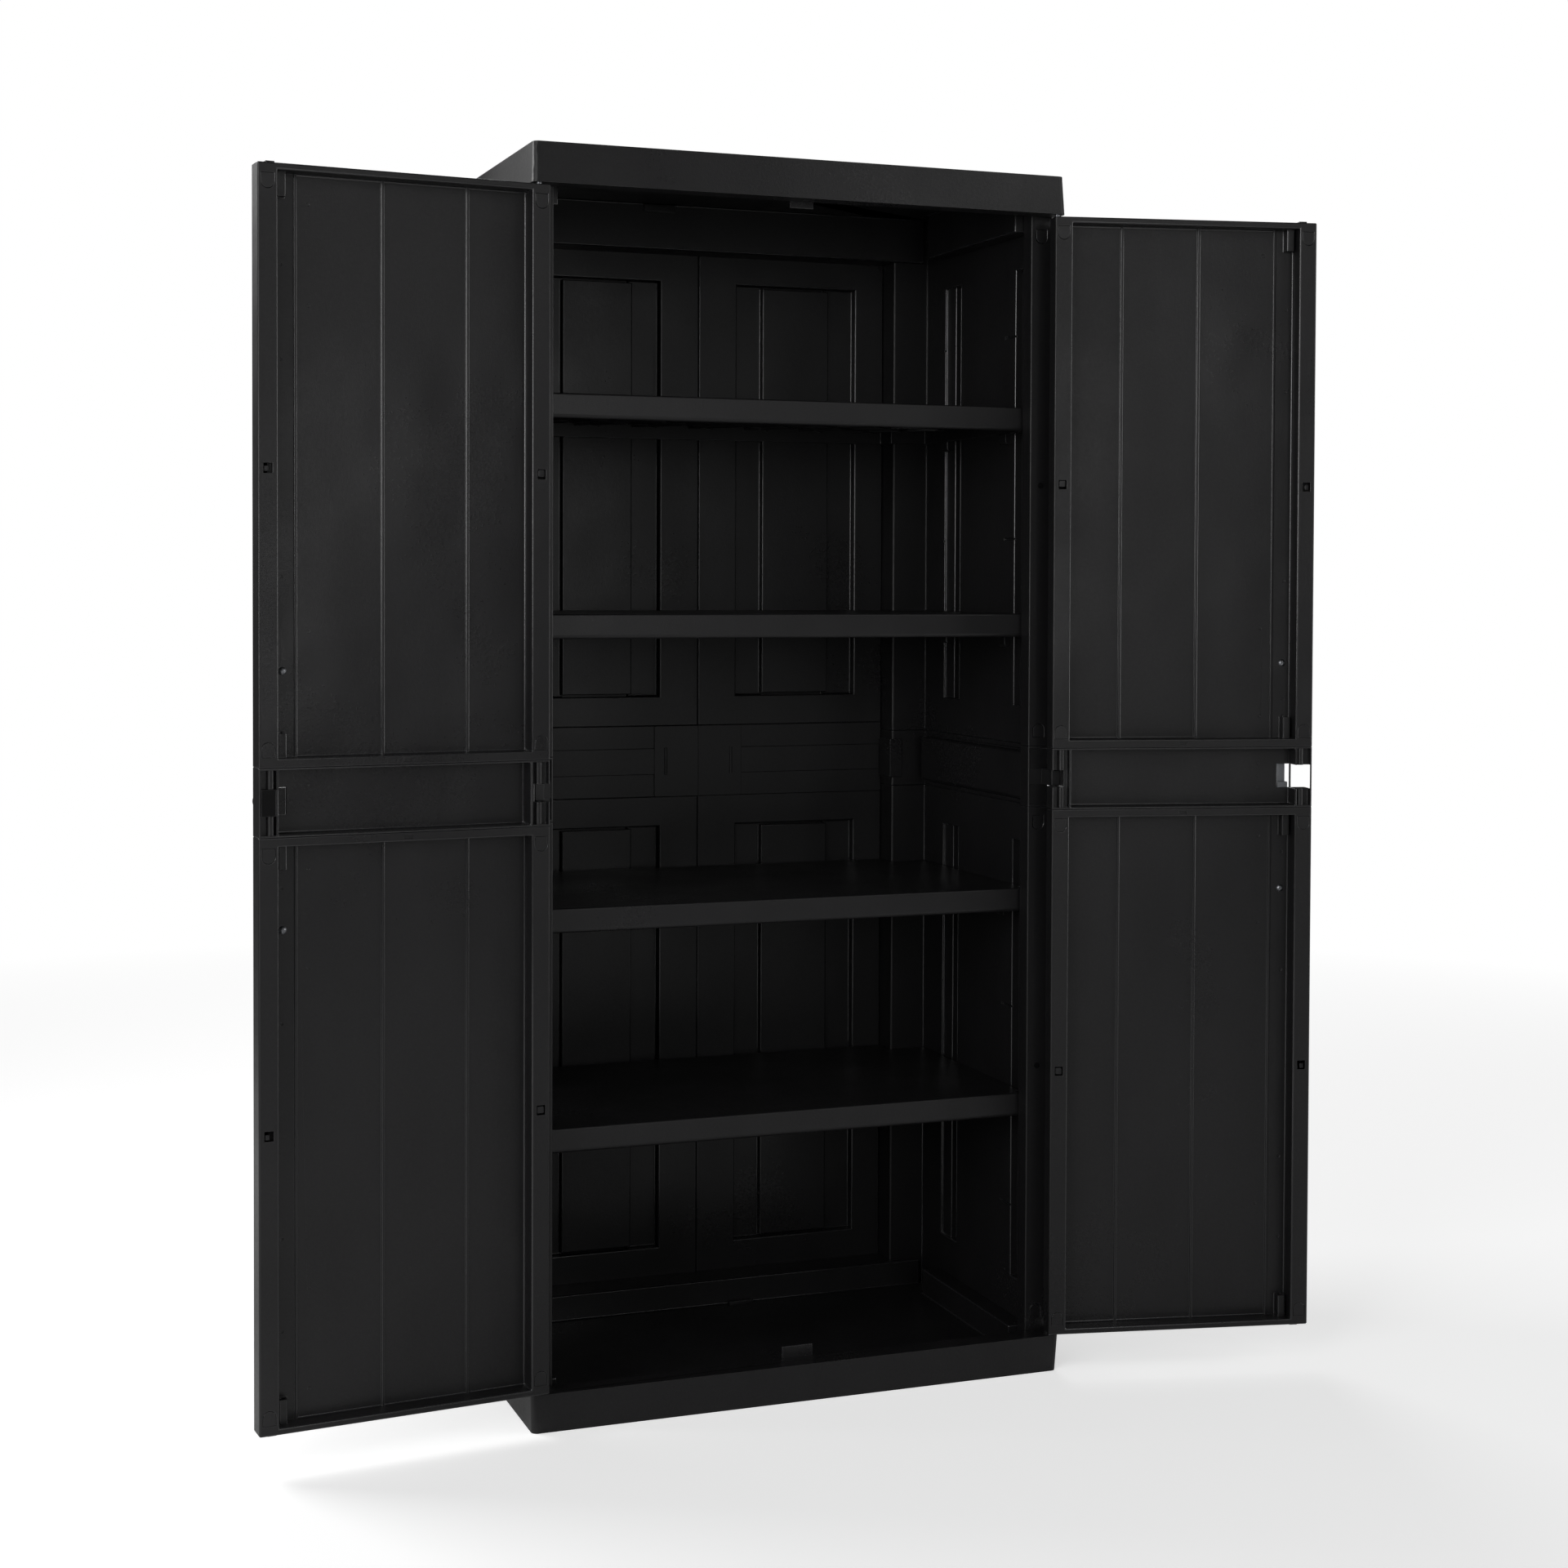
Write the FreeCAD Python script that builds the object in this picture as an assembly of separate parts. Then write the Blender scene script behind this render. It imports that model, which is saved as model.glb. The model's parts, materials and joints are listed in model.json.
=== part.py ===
import FreeCAD, Part
import math
import os

# A flat-pack plastic utility cabinet for the garden, with two doors and four shelves.
# Every size is in millimetres. The origin is on the ground, under the middle of the base.
# +X is the viewer's right, +Y runs to the back and +Z is up.
# The walls and the doors are each a lower panel, a middle band and an upper panel.
# The doors are drawn shut, then turned on their hinge axes to the open pose.

V = FreeCAD.Vector
UP = V(0, 0, 1)
MIRROR = V(1, 0, 0)

# Small overlap that joins two shapes, or carries a cut clear of a face
overlap = 1.0

# Overall size
overall_width = 820.0
overall_depth = 535.0
overall_height = 1800.0

# Base and roof mouldings
base_height = 55.4
fascia_height = 57.0
draft_front = 4.4
draft_side = 2.1
corner_radius = 9.0
rim_wall = 5.0
panel_fit = 0.5
floor_top = 15.0
floor_skin = 4.0
base_rib = 4.0
base_rib_count_x = 7
base_rib_count_y = 3
bench_wall = 4.0
side_bench_width = 30.0
rear_bench_depth = 58.0
rear_bench_side_gap = 12.0
bench_corner_gap = 55.0
bench_bays = 3
roof_bench_drop = 20.5
roof_skin = 6.0
roof_lip = 5.0
pivot_boss_radius = 13.0

# Doors
door_side_margin = 1.6
door_meeting_gap = 3.0
door_end_gap = 5.3
door_setback = 1.5
door_thickness = 32.0
door_seal_gap = 3.5
door_skin = 3.0
door_wall = 3.0
door_edge_round = 3.0
door_hinge_stile = 27.0
door_free_stile = 27.0
door_end_rail = 9.0
door_band_rail = 12.0
door_ridge_count = 3
door_first_ridge = 111.0
door_groove_pitch = 119.5
door_groove_width = 6.0
door_groove_depth = 1.2
door_ridge_width = 4.0
door_ridge_height = 2.2
rail_slot_width = 12.0
rail_slot_height = 5.0
rail_slot_from_seam = 3.5
rail_slot_depth = 2.0
door_hole_width = 12.5
door_hole_height = 13.5
panel_fixing_share = 0.497
outer_mark_shares = [0.0894, 0.3176, 0.6805, 0.8375]
inner_mark_shares = [0.0578, 0.2254, 0.771, 0.94]
outer_mark_from_edge = 37.4
inner_mark_from_edge = 74.4
mark_radius = 2.3
mark_depth = 1.2
door_slit_width = 3.0
door_slit_height = 34.0
door_slit_depth = 1.6
door_screw_from_edge = 39.4
door_screw_share = 0.1594
door_screw_head_radius = 5.6
door_screw_head_height = 3.6
door_screw_shank_radius = 2.0
door_screw_grip = 2.2
door_screw_slot_length = 5.6
door_screw_slot_width = 1.1
door_screw_slot_depth = 1.4
left_open_angle = 174.5
right_open_angle = 168.0

# Door bands, hinges and pivots
band_height = 92.0
band_hinge_box = 29.5
band_channel_depth = 9.0
band_bar_radius = 4.8
band_bar_sink = 1.6
hinge_bar_from_edge = 15.5
free_bar_from_edge = 17.4
hinge_axis_from_edge = 9.1
hinge_axis_from_face = 7.6
knuckle_radius = 7.0
knuckle_end_gap = 0.6
hinge_notch_width = 19.5
hinge_block_round = 1.5
bracket_height = 24.0
bracket_arm = 12.0
bracket_foot_width = 26.0
bracket_foot_depth = 4.0
pin_radius = 3.0
running_gap = 0.05
pin_seat = 6.0
pivot_radius = 4.0
pivot_reach = 16.0
pivot_grip = 24.0

# Door tabs, catches and clip plugs
tab_width = 12.0
tab_height = 3.0
tab_depth = 14.0
tab_from_free_edge = 19.0
base_catch_width = 48.0
roof_catch_width = 36.0
catch_depth = 18.0
base_catch_rise = 12.0
roof_catch_drop = 4.0
catch_wall = 4.0
clip_width = 18.0
clip_height = 20.5
clip_from_end = 13.5
clip_fit = 0.45
clip_length = 9.0

# Latch on the left door and keeper on the right door
window_height = 36.0
latch_window_inner = 363.0
latch_window_outer = 403.4
keeper_window_inner = 361.5
keeper_window_outer = 381.0
grip_window_inner = 384.0
grip_bar_depth = 3.0
latch_wall = 3.0
latch_cover = 2.0
latch_flange = 5.0
latch_fit = 0.3
spindle_radius = 4.0
lever_width = 16.0
lever_thickness = 7.0
lever_hub_radius = 12.0
lever_face_gap = 2.0
lever_grip_width = 8.0
lever_grip_height = 7.0
lever_grip_round = 2.0
latch_washer_radius = 6.5
latch_washer_thickness = 2.5
keeper_plate = 4.0
keeper_clearance = 2.0
keeper_height = 32.0
keeper_foot = 6.0

# Sleeves moulded into the doors beside their free stiles
sleeve_width = 12.5
sleeve_depth = 14.0
sleeve_length = 32.0
sleeve_bore_radius = 3.5
sleeve_from_stile = 2.5

# Wall panels
wall_skin = 3.2
side_frame_depth = 17.5
body_stile_width = 34.0
body_stile_depth = 28.0
stile_round = 2.0
side_trough_front = 59.0
side_field_length = 201.0
side_trough_rear = 28.0
rear_strip_length = 32.0
rear_strip_step = 4.0
back_frame_depth = 24.5
corner_post_rise = 45.0
corner_return = 78.5
post_round = 4.0
seam_border = 66.0
outer_border = 51.0
back_recess_depth = 14.0
back_field_drop = 4.0
back_field_inset = 46.0
side_bottom_rail = 100.0
side_top_rail = 121.0
back_bottom_rail = 87.0
back_top_rail = 115.0
side_band_rail = 58.0
back_band_height = 116.0
back_band_rail = 48.0
back_bead_height = 42.0
back_bead_rise = 1.5
support_slot_levels = [-675.4, -365.4, 359.6, 671.8]
support_slot_height = 2.4
support_slot_depth = 3.0
support_slot_length = 36.0
side_beam_height = 72.0
side_beam_rise = 13.0
side_beam_end = 12.0
side_beam_round = 5.0
side_beam_groove_height = 3.0
side_beam_groove_depth = 1.8
wall_groove_width = 8.0
wall_groove_depth = 1.2
wall_groove_pitch = 62.0

# Plates, clips and screws of the walls
joiner_width = 150.0
joiner_height = 115.0
joiner_thickness = 1.2
joiner_fin_width = 1.2
joiner_fin_rise = 0.8
joiner_round = 3.0
connector_round = 1.0
joiner_tab_width = 4.0
joiner_tab_height = 43.0
joiner_tab_rise = 2.5
joiner_tab_from_middle = 56.0
connector_reach = 18.0
connector_hang = 4.0
connector_depth = 3.0
connector_height = 64.0
screw_head_radius = 4.5
screw_head_height = 1.8
screw_shank_radius = 2.0
screw_length = 14.0

# Shelves
shelf_levels = [-487.6, -172.8, 246.3, 559.8]
shelf_height = 36.3
shelf_skin = 4.0
shelf_wall = 4.0
shelf_side_gap = 2.0
shelf_front_gap = 4.0
shelf_back_gap = 5.0
shelf_post_gap = 3.0
shelf_corner_notch = 11.0
shelf_nose_radius = 7.0
shelf_edge_radius = 3.0
shelf_rib = 3.0
shelf_rib_height = 14.0
shelf_rib_pitch = 96.0
bracket_length = 26.0
bracket_drop = 16.0
bracket_reach = 9.0
bracket_round = 5.4
front_bracket_inset = 14.0
rear_bracket_inset = 4.0

# Planes worked out from the sizes above
half_width = overall_width / 2
half_depth = overall_depth / 2
front_y = -half_depth
fascia_bottom = overall_height - fascia_height
door_bottom = base_height + door_end_gap
door_top = fascia_bottom - door_end_gap
door_width = half_width - door_side_margin - door_meeting_gap / 2
band_middle = (door_bottom + door_top) / 2
band_bottom = band_middle - band_height / 2
band_top = band_middle + band_height / 2
door_outer_y = front_y + door_setback
door_inner_y = door_outer_y + door_thickness
door_hinge_x = half_width - door_side_margin
axis_x = door_hinge_x - hinge_axis_from_edge
axis_y = door_outer_y + hinge_axis_from_face
stile_front_y = door_inner_y + door_seal_gap
stile_back_y = stile_front_y + body_stile_depth
wall_outer_x = half_width - rim_wall - panel_fit
wall_inner_x = wall_outer_x - side_frame_depth
stile_inner_x = wall_outer_x - body_stile_width
field_front_y = stile_back_y + side_trough_front
field_back_y = field_front_y + side_field_length
strip_front_y = field_back_y + side_trough_rear
strip_back_y = strip_front_y + rear_strip_length
back_outer_y = half_depth - rim_wall - panel_fit
back_inner_y = back_outer_y - back_frame_depth
back_joint_x = wall_outer_x - corner_return
post_front_y = back_inner_y - corner_post_rise
wall_bottom = floor_top
wall_top = overall_height - roof_skin
back_band_bottom = band_middle - back_band_height / 2
back_band_top = band_middle + back_band_height / 2
bench_outer_x = wall_inner_x - panel_fit
bench_inner_x = bench_outer_x - side_bench_width
bench_back_y = back_inner_y - panel_fit
bench_front_y = bench_back_y - rear_bench_depth
shelf_tops = [band_middle + level for level in shelf_levels]
hinge_notch_height = bracket_height + 2 * knuckle_end_gap
bore_radius = pin_radius + running_gap
pivot_bore_radius = pivot_radius + running_gap


def box(x0, x1, y0, y1, z0, z1):
    """Return a box between two corners."""
    return Part.makeBox(x1 - x0, y1 - y0, z1 - z0, V(x0, y0, z0))


def rod(x, y, z0, z1, radius):
    """Return an upright cylinder."""
    return Part.makeCylinder(radius, z1 - z0, V(x, y, z0), UP)


def rod_y(x, z, y0, y1, radius):
    """Return a cylinder that runs front to back."""
    return Part.makeCylinder(radius, y1 - y0, V(x, y0, z), V(0, 1, 0))


def rounded_outline(x0, x1, y0, y1, z, radius):
    """Return a closed level outline with round corners."""
    corners = [
        (V(x1 - radius, y0 + radius, z), -90.0),
        (V(x1 - radius, y1 - radius, z), 0.0),
        (V(x0 + radius, y1 - radius, z), 90.0),
        (V(x0 + radius, y0 + radius, z), 180.0),
    ]
    arcs = []
    for centre, start in corners:
        points = []
        for turn in (0.0, 45.0, 90.0):
            angle = math.radians(start + turn)
            points.append(centre + V(radius * math.cos(angle), radius * math.sin(angle), 0))
        arcs.append(points)
    edges = []
    for index, points in enumerate(arcs):
        edges.append(Part.Arc(points[0], points[1], points[2]).toShape())
        following = arcs[(index + 1) % len(arcs)]
        edges.append(Part.LineSegment(points[2], following[0]).toShape())
    return Part.Wire(edges)


def rounded_post(x0, x1, y0, y1, z0, z1, radius):
    """Return an upright block with round upright corners."""
    face = Part.Face(rounded_outline(x0, x1, y0, y1, z0, radius))
    return face.extrude(V(0, 0, z1 - z0))


def joined(shapes):
    """Return the union of several overlapping solids as one solid."""
    result = shapes[0].fuse(shapes[1:]) if len(shapes) > 1 else shapes[0]
    return result.removeSplitter()


def carved(shape, tools):
    """Return the shape with every tool cut away."""
    return shape.cut(tools)


def rounded_edges(shape, radius, wanted):
    """Round the straight edges whose two ends satisfy the test."""
    edges = []
    for edge in shape.Edges:
        ends = [vertex.Point for vertex in edge.Vertexes]
        if len(ends) == 2 and wanted(ends[0], ends[1]):
            edges.append(edge)
    return shape.makeFillet(radius, edges) if edges else shape


def upright(a, b):
    """Tell whether the edge between two points rises."""
    return abs(a.z - b.z) > overlap


def lengthwise(a, b):
    """Tell whether the edge between two points runs front to back."""
    return abs(a.y - b.y) > overlap


def crosswise(a, b):
    """Tell whether the edge between two points runs across the cabinet."""
    return abs(a.x - b.x) > overlap


def mirrored(shape):
    """Return the shape reflected from one side of the cabinet to the other."""
    return shape.mirror(V(0, 0, 0), MIRROR)


def group(shapes):
    """Return separate solids of one kind as one compound."""
    return Part.makeCompound(shapes)


# Base plinth

def drafted_block(z0, z1, wide_at_top):
    """Return the outer block of the base or the roof, narrower at its far end."""
    small = (draft_side, draft_front)
    full = (0.0, 0.0)
    low, high = (small, full) if wide_at_top else (full, small)
    outlines = []
    for z, inset in ((z0, low), (z1, high)):
        outlines.append(rounded_outline(
            -half_width + inset[0], half_width - inset[0],
            -half_depth + inset[1], half_depth - inset[1], z, corner_radius))
    return Part.makeLoft(outlines, True, True)


def benches(z0, z1, hollow_low, hollow_high):
    """Return the hollow benches inside the side walls and the rear wall."""
    y0 = stile_back_y + panel_fit
    y1 = bench_front_y - bench_corner_gap
    side = box(bench_inner_x, bench_outer_x, y0, y1, z0, z1)
    side_hollow = box(bench_inner_x + bench_wall, bench_outer_x + overlap,
                      y0 + bench_wall, y1 - bench_wall, hollow_low, hollow_high)
    side = side.cut(side_hollow)
    rear_x = wall_inner_x - rear_bench_side_gap
    post_x = back_joint_x - panel_fit
    front = box(-rear_x, rear_x, bench_front_y, post_front_y - panel_fit, z0, z1)
    rear = box(-post_x, post_x, bench_front_y, bench_back_y, z0, z1)
    spaces = []
    bay = 2 * post_x / bench_bays
    for index in range(bench_bays):
        x0 = index * bay - post_x
        spaces.append(box(x0 + bench_wall, x0 + bay - bench_wall, bench_front_y + bench_wall,
                          bench_back_y + overlap, hollow_low, hollow_high))
    return [side, mirrored(side), carved(joined([front, rear]), spaces)]





def wall_pocket(y0, z0, z1):
    """Return the space inside the outer rim where the walls stand."""
    reach_x = wall_outer_x + panel_fit
    return box(-reach_x, reach_x, y0, back_outer_y + panel_fit, z0, z1)


def base_underside():
    """Return the pockets that leave a grid of ribs under the floor."""
    pockets = []
    low_x = -half_width + draft_side + rim_wall
    low_y = -half_depth + draft_front + rim_wall
    step_x = (-2 * low_x + base_rib) / (base_rib_count_x + 1)
    step_y = (-2 * low_y + base_rib) / (base_rib_count_y + 1)
    for column in range(base_rib_count_x + 1):
        for row in range(base_rib_count_y + 1):
            x = low_x + column * step_x
            y = low_y + row * step_y
            pockets.append(box(x, x + step_x - base_rib, y, y + step_y - base_rib,
                               0, floor_top - floor_skin))
    return pockets


def base_plinth():
    """Return the tray that the walls stand in, with the lower door pivots' bores."""
    block = drafted_block(0, base_height, True)
    tray = block.cut(wall_pocket(stile_front_y - panel_fit, floor_top, base_height))
    tray = joined([tray] + benches(floor_top - overlap, base_height, floor_top, base_height - bench_wall))
    cuts = base_underside()
    for side in (-1, 1):
        cuts.append(rod(side * axis_x, axis_y, base_height - pivot_reach - 2 * running_gap,
                        base_height, pivot_bore_radius))
    return carved(tray, cuts)


# Roof cap

def roof_cap():
    """Return the roof with its deep fascia, its lip over the doors and its inner rim."""
    block = drafted_block(fascia_bottom, overall_height, False)
    inside = wall_pocket(stile_front_y - panel_fit, fascia_bottom, wall_top)
    channel = box(-wall_outer_x, wall_outer_x,
                  front_y + draft_front + rim_wall, stile_front_y,
                  fascia_bottom + roof_lip, wall_top)
    shell = carved(block, [inside, channel])
    bosses = []
    for side in (-1, 1):
        post = rod(side * axis_x, axis_y, fascia_bottom, wall_top, pivot_boss_radius)
        limit = box(-wall_outer_x, wall_outer_x, front_y + draft_front, stile_front_y,
                    fascia_bottom, wall_top)
        bosses.append(post.common(limit))
    low = fascia_bottom - roof_bench_drop
    shell = joined([shell] + benches(low, wall_top + overlap, low + bench_wall, wall_top) + bosses)
    bores = []
    for side in (-1, 1):
        bores.append(rod(side * axis_x, axis_y, fascia_bottom,
                         fascia_bottom + pivot_reach + 2 * running_gap, pivot_bore_radius))
    return carved(shell, bores)


# Clip plugs, with one straight side and one round end

def clip_shape(x, z, upward, width, height, y0, y1):
    """Return a D-shaped plug whose flat side is at z and whose round end points up or down."""
    half = width / 2
    way = 1 if upward else -1
    shoulder = z + way * (height - half)
    points = [V(x - half, y0, shoulder), V(x - half, y0, z), V(x + half, y0, z), V(x + half, y0, shoulder)]
    edges = []
    for index in range(3):
        edges.append(Part.LineSegment(points[index], points[index + 1]).toShape())
    crown = V(x, y0, shoulder + way * half)
    edges.append(Part.Arc(points[3], crown, points[0]).toShape())
    return Part.Face(Part.Wire(edges)).extrude(V(0, y1 - y0, 0))


def clip_places(low, high):
    """Return the height and direction of the plugs at both ends of a panel."""
    return [(low + clip_from_end, True), (high - clip_from_end, False)]


# Side walls, drawn on the right and reflected for the left

def side_ends(part):
    """Return the lowest and highest level of a side piece."""
    ends = {"lower": (wall_bottom, band_bottom),
            "band": (band_bottom, band_top),
            "upper": (band_top, wall_top)}
    return ends[part]


def side_shell(low, high):
    """Return the outer skin, the front stile and the rear corner of a side piece."""
    skin = box(wall_outer_x - wall_skin, wall_outer_x, stile_front_y, back_outer_y, low, high)
    stile = box(stile_inner_x, wall_outer_x, stile_front_y, stile_back_y, low, high)
    stile = rounded_edges(stile, stile_round,
                          lambda a, b: upright(a, b) and max(a.x, b.x) < stile_inner_x + overlap)
    corner = box(wall_inner_x, wall_outer_x, strip_back_y, back_outer_y, low, high)
    post = box(back_joint_x, wall_outer_x, post_front_y, back_outer_y, low, high)
    post = rounded_edges(post, post_round,
                         lambda a, b: upright(a, b) and max(a.x, b.x) < back_joint_x + overlap
                         and max(a.y, b.y) < back_inner_y)
    return [skin, stile, corner, post]


def side_hollows(low, high):
    """Return the tubes that run through the stile, the field and the rear corner."""
    inner = wall_skin
    near = wall_outer_x - wall_skin
    return [
        box(stile_inner_x + inner, near, stile_front_y + inner, stile_back_y - inner, low, high),
        box(wall_inner_x + inner, near, field_front_y + inner, field_back_y - inner, low, high),
        box(wall_inner_x + inner, near, strip_back_y + inner, back_outer_y - inner, low, high),
        box(back_joint_x + inner, near, post_front_y + inner, back_outer_y - inner, low, high),
    ]


def wall_grooves_side(low, high, gap):
    """Return the shallow upright grooves in the outer face of a side panel."""
    grooves = []
    middle = (stile_back_y + back_outer_y) / 2
    count = int((back_outer_y - stile_back_y - wall_groove_pitch) / (2 * wall_groove_pitch))
    for index in range(-count, count + 1):
        y = middle + index * wall_groove_pitch
        grooves.append(box(wall_outer_x - wall_groove_depth, wall_outer_x,
                           y - wall_groove_width / 2, y + wall_groove_width / 2, low + gap, high - gap))
    return grooves


def side_panel(part):
    """Return the lower or upper side panel on the right, recessed on its inner side."""
    low, high = side_ends(part)
    bottom = wall_bottom + side_bottom_rail if part == "lower" else band_top + side_band_rail
    top = band_bottom - side_band_rail if part == "lower" else wall_top - side_top_rail
    pieces = side_shell(low, high)
    pieces.append(box(wall_inner_x, wall_outer_x, stile_back_y, strip_back_y, low, bottom))
    pieces.append(box(wall_inner_x, wall_outer_x, stile_back_y, strip_back_y, top, high))
    pieces.append(box(wall_inner_x, wall_outer_x, field_front_y, field_back_y, low, high))
    pieces.append(box(wall_inner_x + rear_strip_step, wall_outer_x, strip_front_y, strip_back_y, low, high))
    panel = joined(pieces)
    cuts = side_hollows(low, high) + wall_grooves_side(low, high, side_band_rail)
    near = wall_outer_x - wall_skin
    for y0, y1 in ((stile_back_y, field_front_y), (field_back_y, strip_back_y)):
        for z0, z1 in ((low, bottom - wall_skin), (top + wall_skin, high)):
            cuts.append(box(wall_inner_x + wall_skin, near, y0 + wall_skin, y1 - wall_skin, z0, z1))
    middle_x = (stile_inner_x + wall_outer_x) / 2
    clip_low = base_height + door_end_gap if part == "lower" else low
    clip_high = door_top if part == "upper" else high
    for z, upward in clip_places(clip_low, clip_high):
        cuts.append(clip_shape(middle_x, z, upward, clip_width, clip_height,
                               stile_front_y, stile_front_y + wall_skin))
    screw_z = panel_level(part, panel_fixing_share)
    cuts.append(rod_y(middle_x, screw_z, stile_front_y, stile_front_y + wall_skin,
                      screw_shank_radius + running_gap))
    return carved(panel, cuts + support_slots(low, high))


def support_slots(low, high):
    """Return the shallow level slots in the inner face of a side panel."""
    slots = []
    for level in support_slot_levels:
        z = band_middle + level
        if low < z < high:
            for y in (field_front_y, strip_front_y):
                slots.append(box(wall_inner_x - overlap, wall_inner_x + support_slot_depth,
                                 y, y + support_slot_length, z, z + support_slot_height))
    return slots


def panel_level(part, share):
    """Return the level that lies a share of the way from the band to a door panel's far end."""
    near, far = (band_bottom, door_bottom) if part == "lower" else (band_top, door_top)
    return near + share * (far - near)


def side_band():
    """Return the middle band of the right wall, with its beam and the hinge bracket's seat."""
    low, high = side_ends("band")
    pieces = side_shell(low, high)
    pieces.append(box(wall_inner_x, wall_outer_x, stile_back_y, strip_back_y, low, high))
    beam_low = band_middle - side_beam_height / 2
    beam_high = band_middle + side_beam_height / 2
    beam = box(wall_inner_x - side_beam_rise, wall_inner_x + overlap,
               stile_back_y - overlap, post_front_y - side_beam_end, beam_low, beam_high)
    beam = rounded_edges(beam, side_beam_round,
                         lambda a, b: max(a.x, b.x) < wall_inner_x and lengthwise(a, b))
    pieces.append(beam)
    band = joined(pieces)
    near = wall_outer_x - wall_skin
    cuts = side_hollows(low, high)
    cuts[1] = box(wall_inner_x + wall_skin, near, stile_back_y + wall_skin, strip_back_y - wall_skin,
                  low, high)
    cuts.append(box(wall_inner_x - side_beam_rise + wall_skin, wall_inner_x + wall_skin,
                    stile_back_y + wall_skin, post_front_y - side_beam_end - wall_skin,
                    beam_low + wall_skin, beam_high - wall_skin))
    seat = box(stile_inner_x + wall_skin, wall_outer_x,
               stile_front_y - overlap, stile_front_y + bracket_foot_depth / 2,
               low + bracket_foot_depth, high - bracket_foot_depth)
    cuts.append(seat)
    for z0 in (beam_low - side_beam_groove_height, beam_high):
        cuts.append(box(wall_inner_x - overlap, wall_inner_x + side_beam_groove_depth,
                        stile_back_y, post_front_y, z0, z0 + side_beam_groove_height))
    return carved(band, cuts)


# Back walls, drawn on the right of the centre seam

def back_ends(part):
    """Return the lowest and highest level of a back piece."""
    ends = {"lower": (wall_bottom, back_band_bottom),
            "band": (back_band_bottom, back_band_top),
            "upper": (back_band_top, wall_top)}
    return ends[part]


def back_hollows(low, high, deep):
    """Return the tubes through a back piece, deeper where its inner face is set back."""
    far = back_outer_y - wall_skin
    near = back_inner_y + wall_skin
    field_low = seam_border + back_field_inset
    field_high = back_joint_x - outer_border - back_field_inset
    spans = [
        (wall_skin, seam_border - wall_skin, near),
        (seam_border, field_low, near + deep),
        (field_low + wall_skin, field_high - wall_skin, near + (back_field_drop if deep else 0.0)),
        (field_high, back_joint_x - outer_border, near + deep),
        (back_joint_x - outer_border + wall_skin, back_joint_x - wall_skin, near),
    ]
    tubes = []
    for x0, x1, y0 in spans:
        tubes.append(box(x0, x1, y0, far, low, high))
    return tubes


def back_panel(part):
    """Return the lower or upper half panel of the back, recessed on its inner side."""
    low, high = back_ends(part)
    bottom = wall_bottom + back_bottom_rail if part == "lower" else back_band_top + back_band_rail
    top = back_band_bottom - back_band_rail if part == "lower" else wall_top - back_top_rail
    panel = box(0, back_joint_x, back_inner_y, back_outer_y, low, high)
    recess = box(seam_border, back_joint_x - outer_border,
                 back_inner_y, back_inner_y + back_recess_depth, bottom, top)
    field = box(seam_border + back_field_inset, back_joint_x - outer_border - back_field_inset,
                back_inner_y + back_field_drop, back_inner_y + back_recess_depth,
                bottom + back_field_drop, top - back_field_drop)
    cuts = [recess.cut(field)] + back_hollows(low, high, back_recess_depth)
    middle = back_joint_x / 2
    for index in (-2, -1, 0, 1, 2):
        x = middle + index * wall_groove_pitch
        cuts.append(box(x - wall_groove_width / 2, x + wall_groove_width / 2,
                        back_outer_y - wall_groove_depth, back_outer_y,
                        low + side_band_rail, high - side_band_rail))
    return carved(panel, cuts)


def back_band():
    """Return the right half of the back's middle band, with its raised bead."""
    low, high = back_ends("band")
    core = box(0, back_joint_x, back_inner_y, back_outer_y, low, high)
    bead = box(0, back_joint_x - connector_hang, back_inner_y - back_bead_rise, back_inner_y + overlap,
               band_middle - back_bead_height / 2, band_middle + back_bead_height / 2)
    return carved(joined([core, bead]), back_hollows(low, high, 0.0))


def joiner_plate():
    """Return the plate that bridges the two halves of the back's band."""
    y1 = back_inner_y - back_bead_rise
    y0 = y1 - joiner_thickness
    low = band_middle - joiner_height / 2
    high = band_middle + joiner_height / 2
    plate = box(-joiner_width / 2, joiner_width / 2, y0, y1, low, high)
    plate = rounded_edges(plate, joiner_round, lengthwise)
    fin = box(-joiner_fin_width / 2, joiner_fin_width / 2, y0 - joiner_fin_rise, y1, low, high)
    pieces = [plate, fin]
    half = joiner_width / 4
    for way in (-1, 1):
        z0, z1 = sorted((band_middle + way * joiner_height / 2,
                         band_middle + way * (back_bead_height / 2 + running_gap)))
        pieces.append(box(-half, half, y1 - joiner_thickness / 2, back_inner_y, z0, z1))
        x = way * joiner_tab_from_middle
        pieces.append(box(x - joiner_tab_width / 2, x + joiner_tab_width / 2,
                          y0 - joiner_tab_rise, y1 - joiner_thickness / 2,
                          band_middle - joiner_tab_height / 2, band_middle + joiner_tab_height / 2))
    return joined(pieces)


def corner_connector():
    """Return the angle that ties the right corner post to the back band."""
    low = band_middle - connector_height / 2
    high = band_middle + connector_height / 2
    front = post_front_y - connector_depth
    left = back_joint_x - connector_hang
    face = box(left, back_joint_x + connector_reach, front, post_front_y, low, high)
    side = box(left, back_joint_x, front, back_inner_y, low, high)
    block = joined([face, side])
    return rounded_edges(block, connector_round,
                         lambda a, b: upright(a, b) and max(a.y, b.y) < post_front_y - overlap)


# Doors, drawn shut on the left: s runs from the hinge edge and d from the inner face

def door_x(s):
    """Return the place across the cabinet of a distance from the left door's hinge edge."""
    return -door_hinge_x + s


def door_y(d):
    """Return the place front to back of a depth below the door's inner face."""
    return door_inner_y - d


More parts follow.
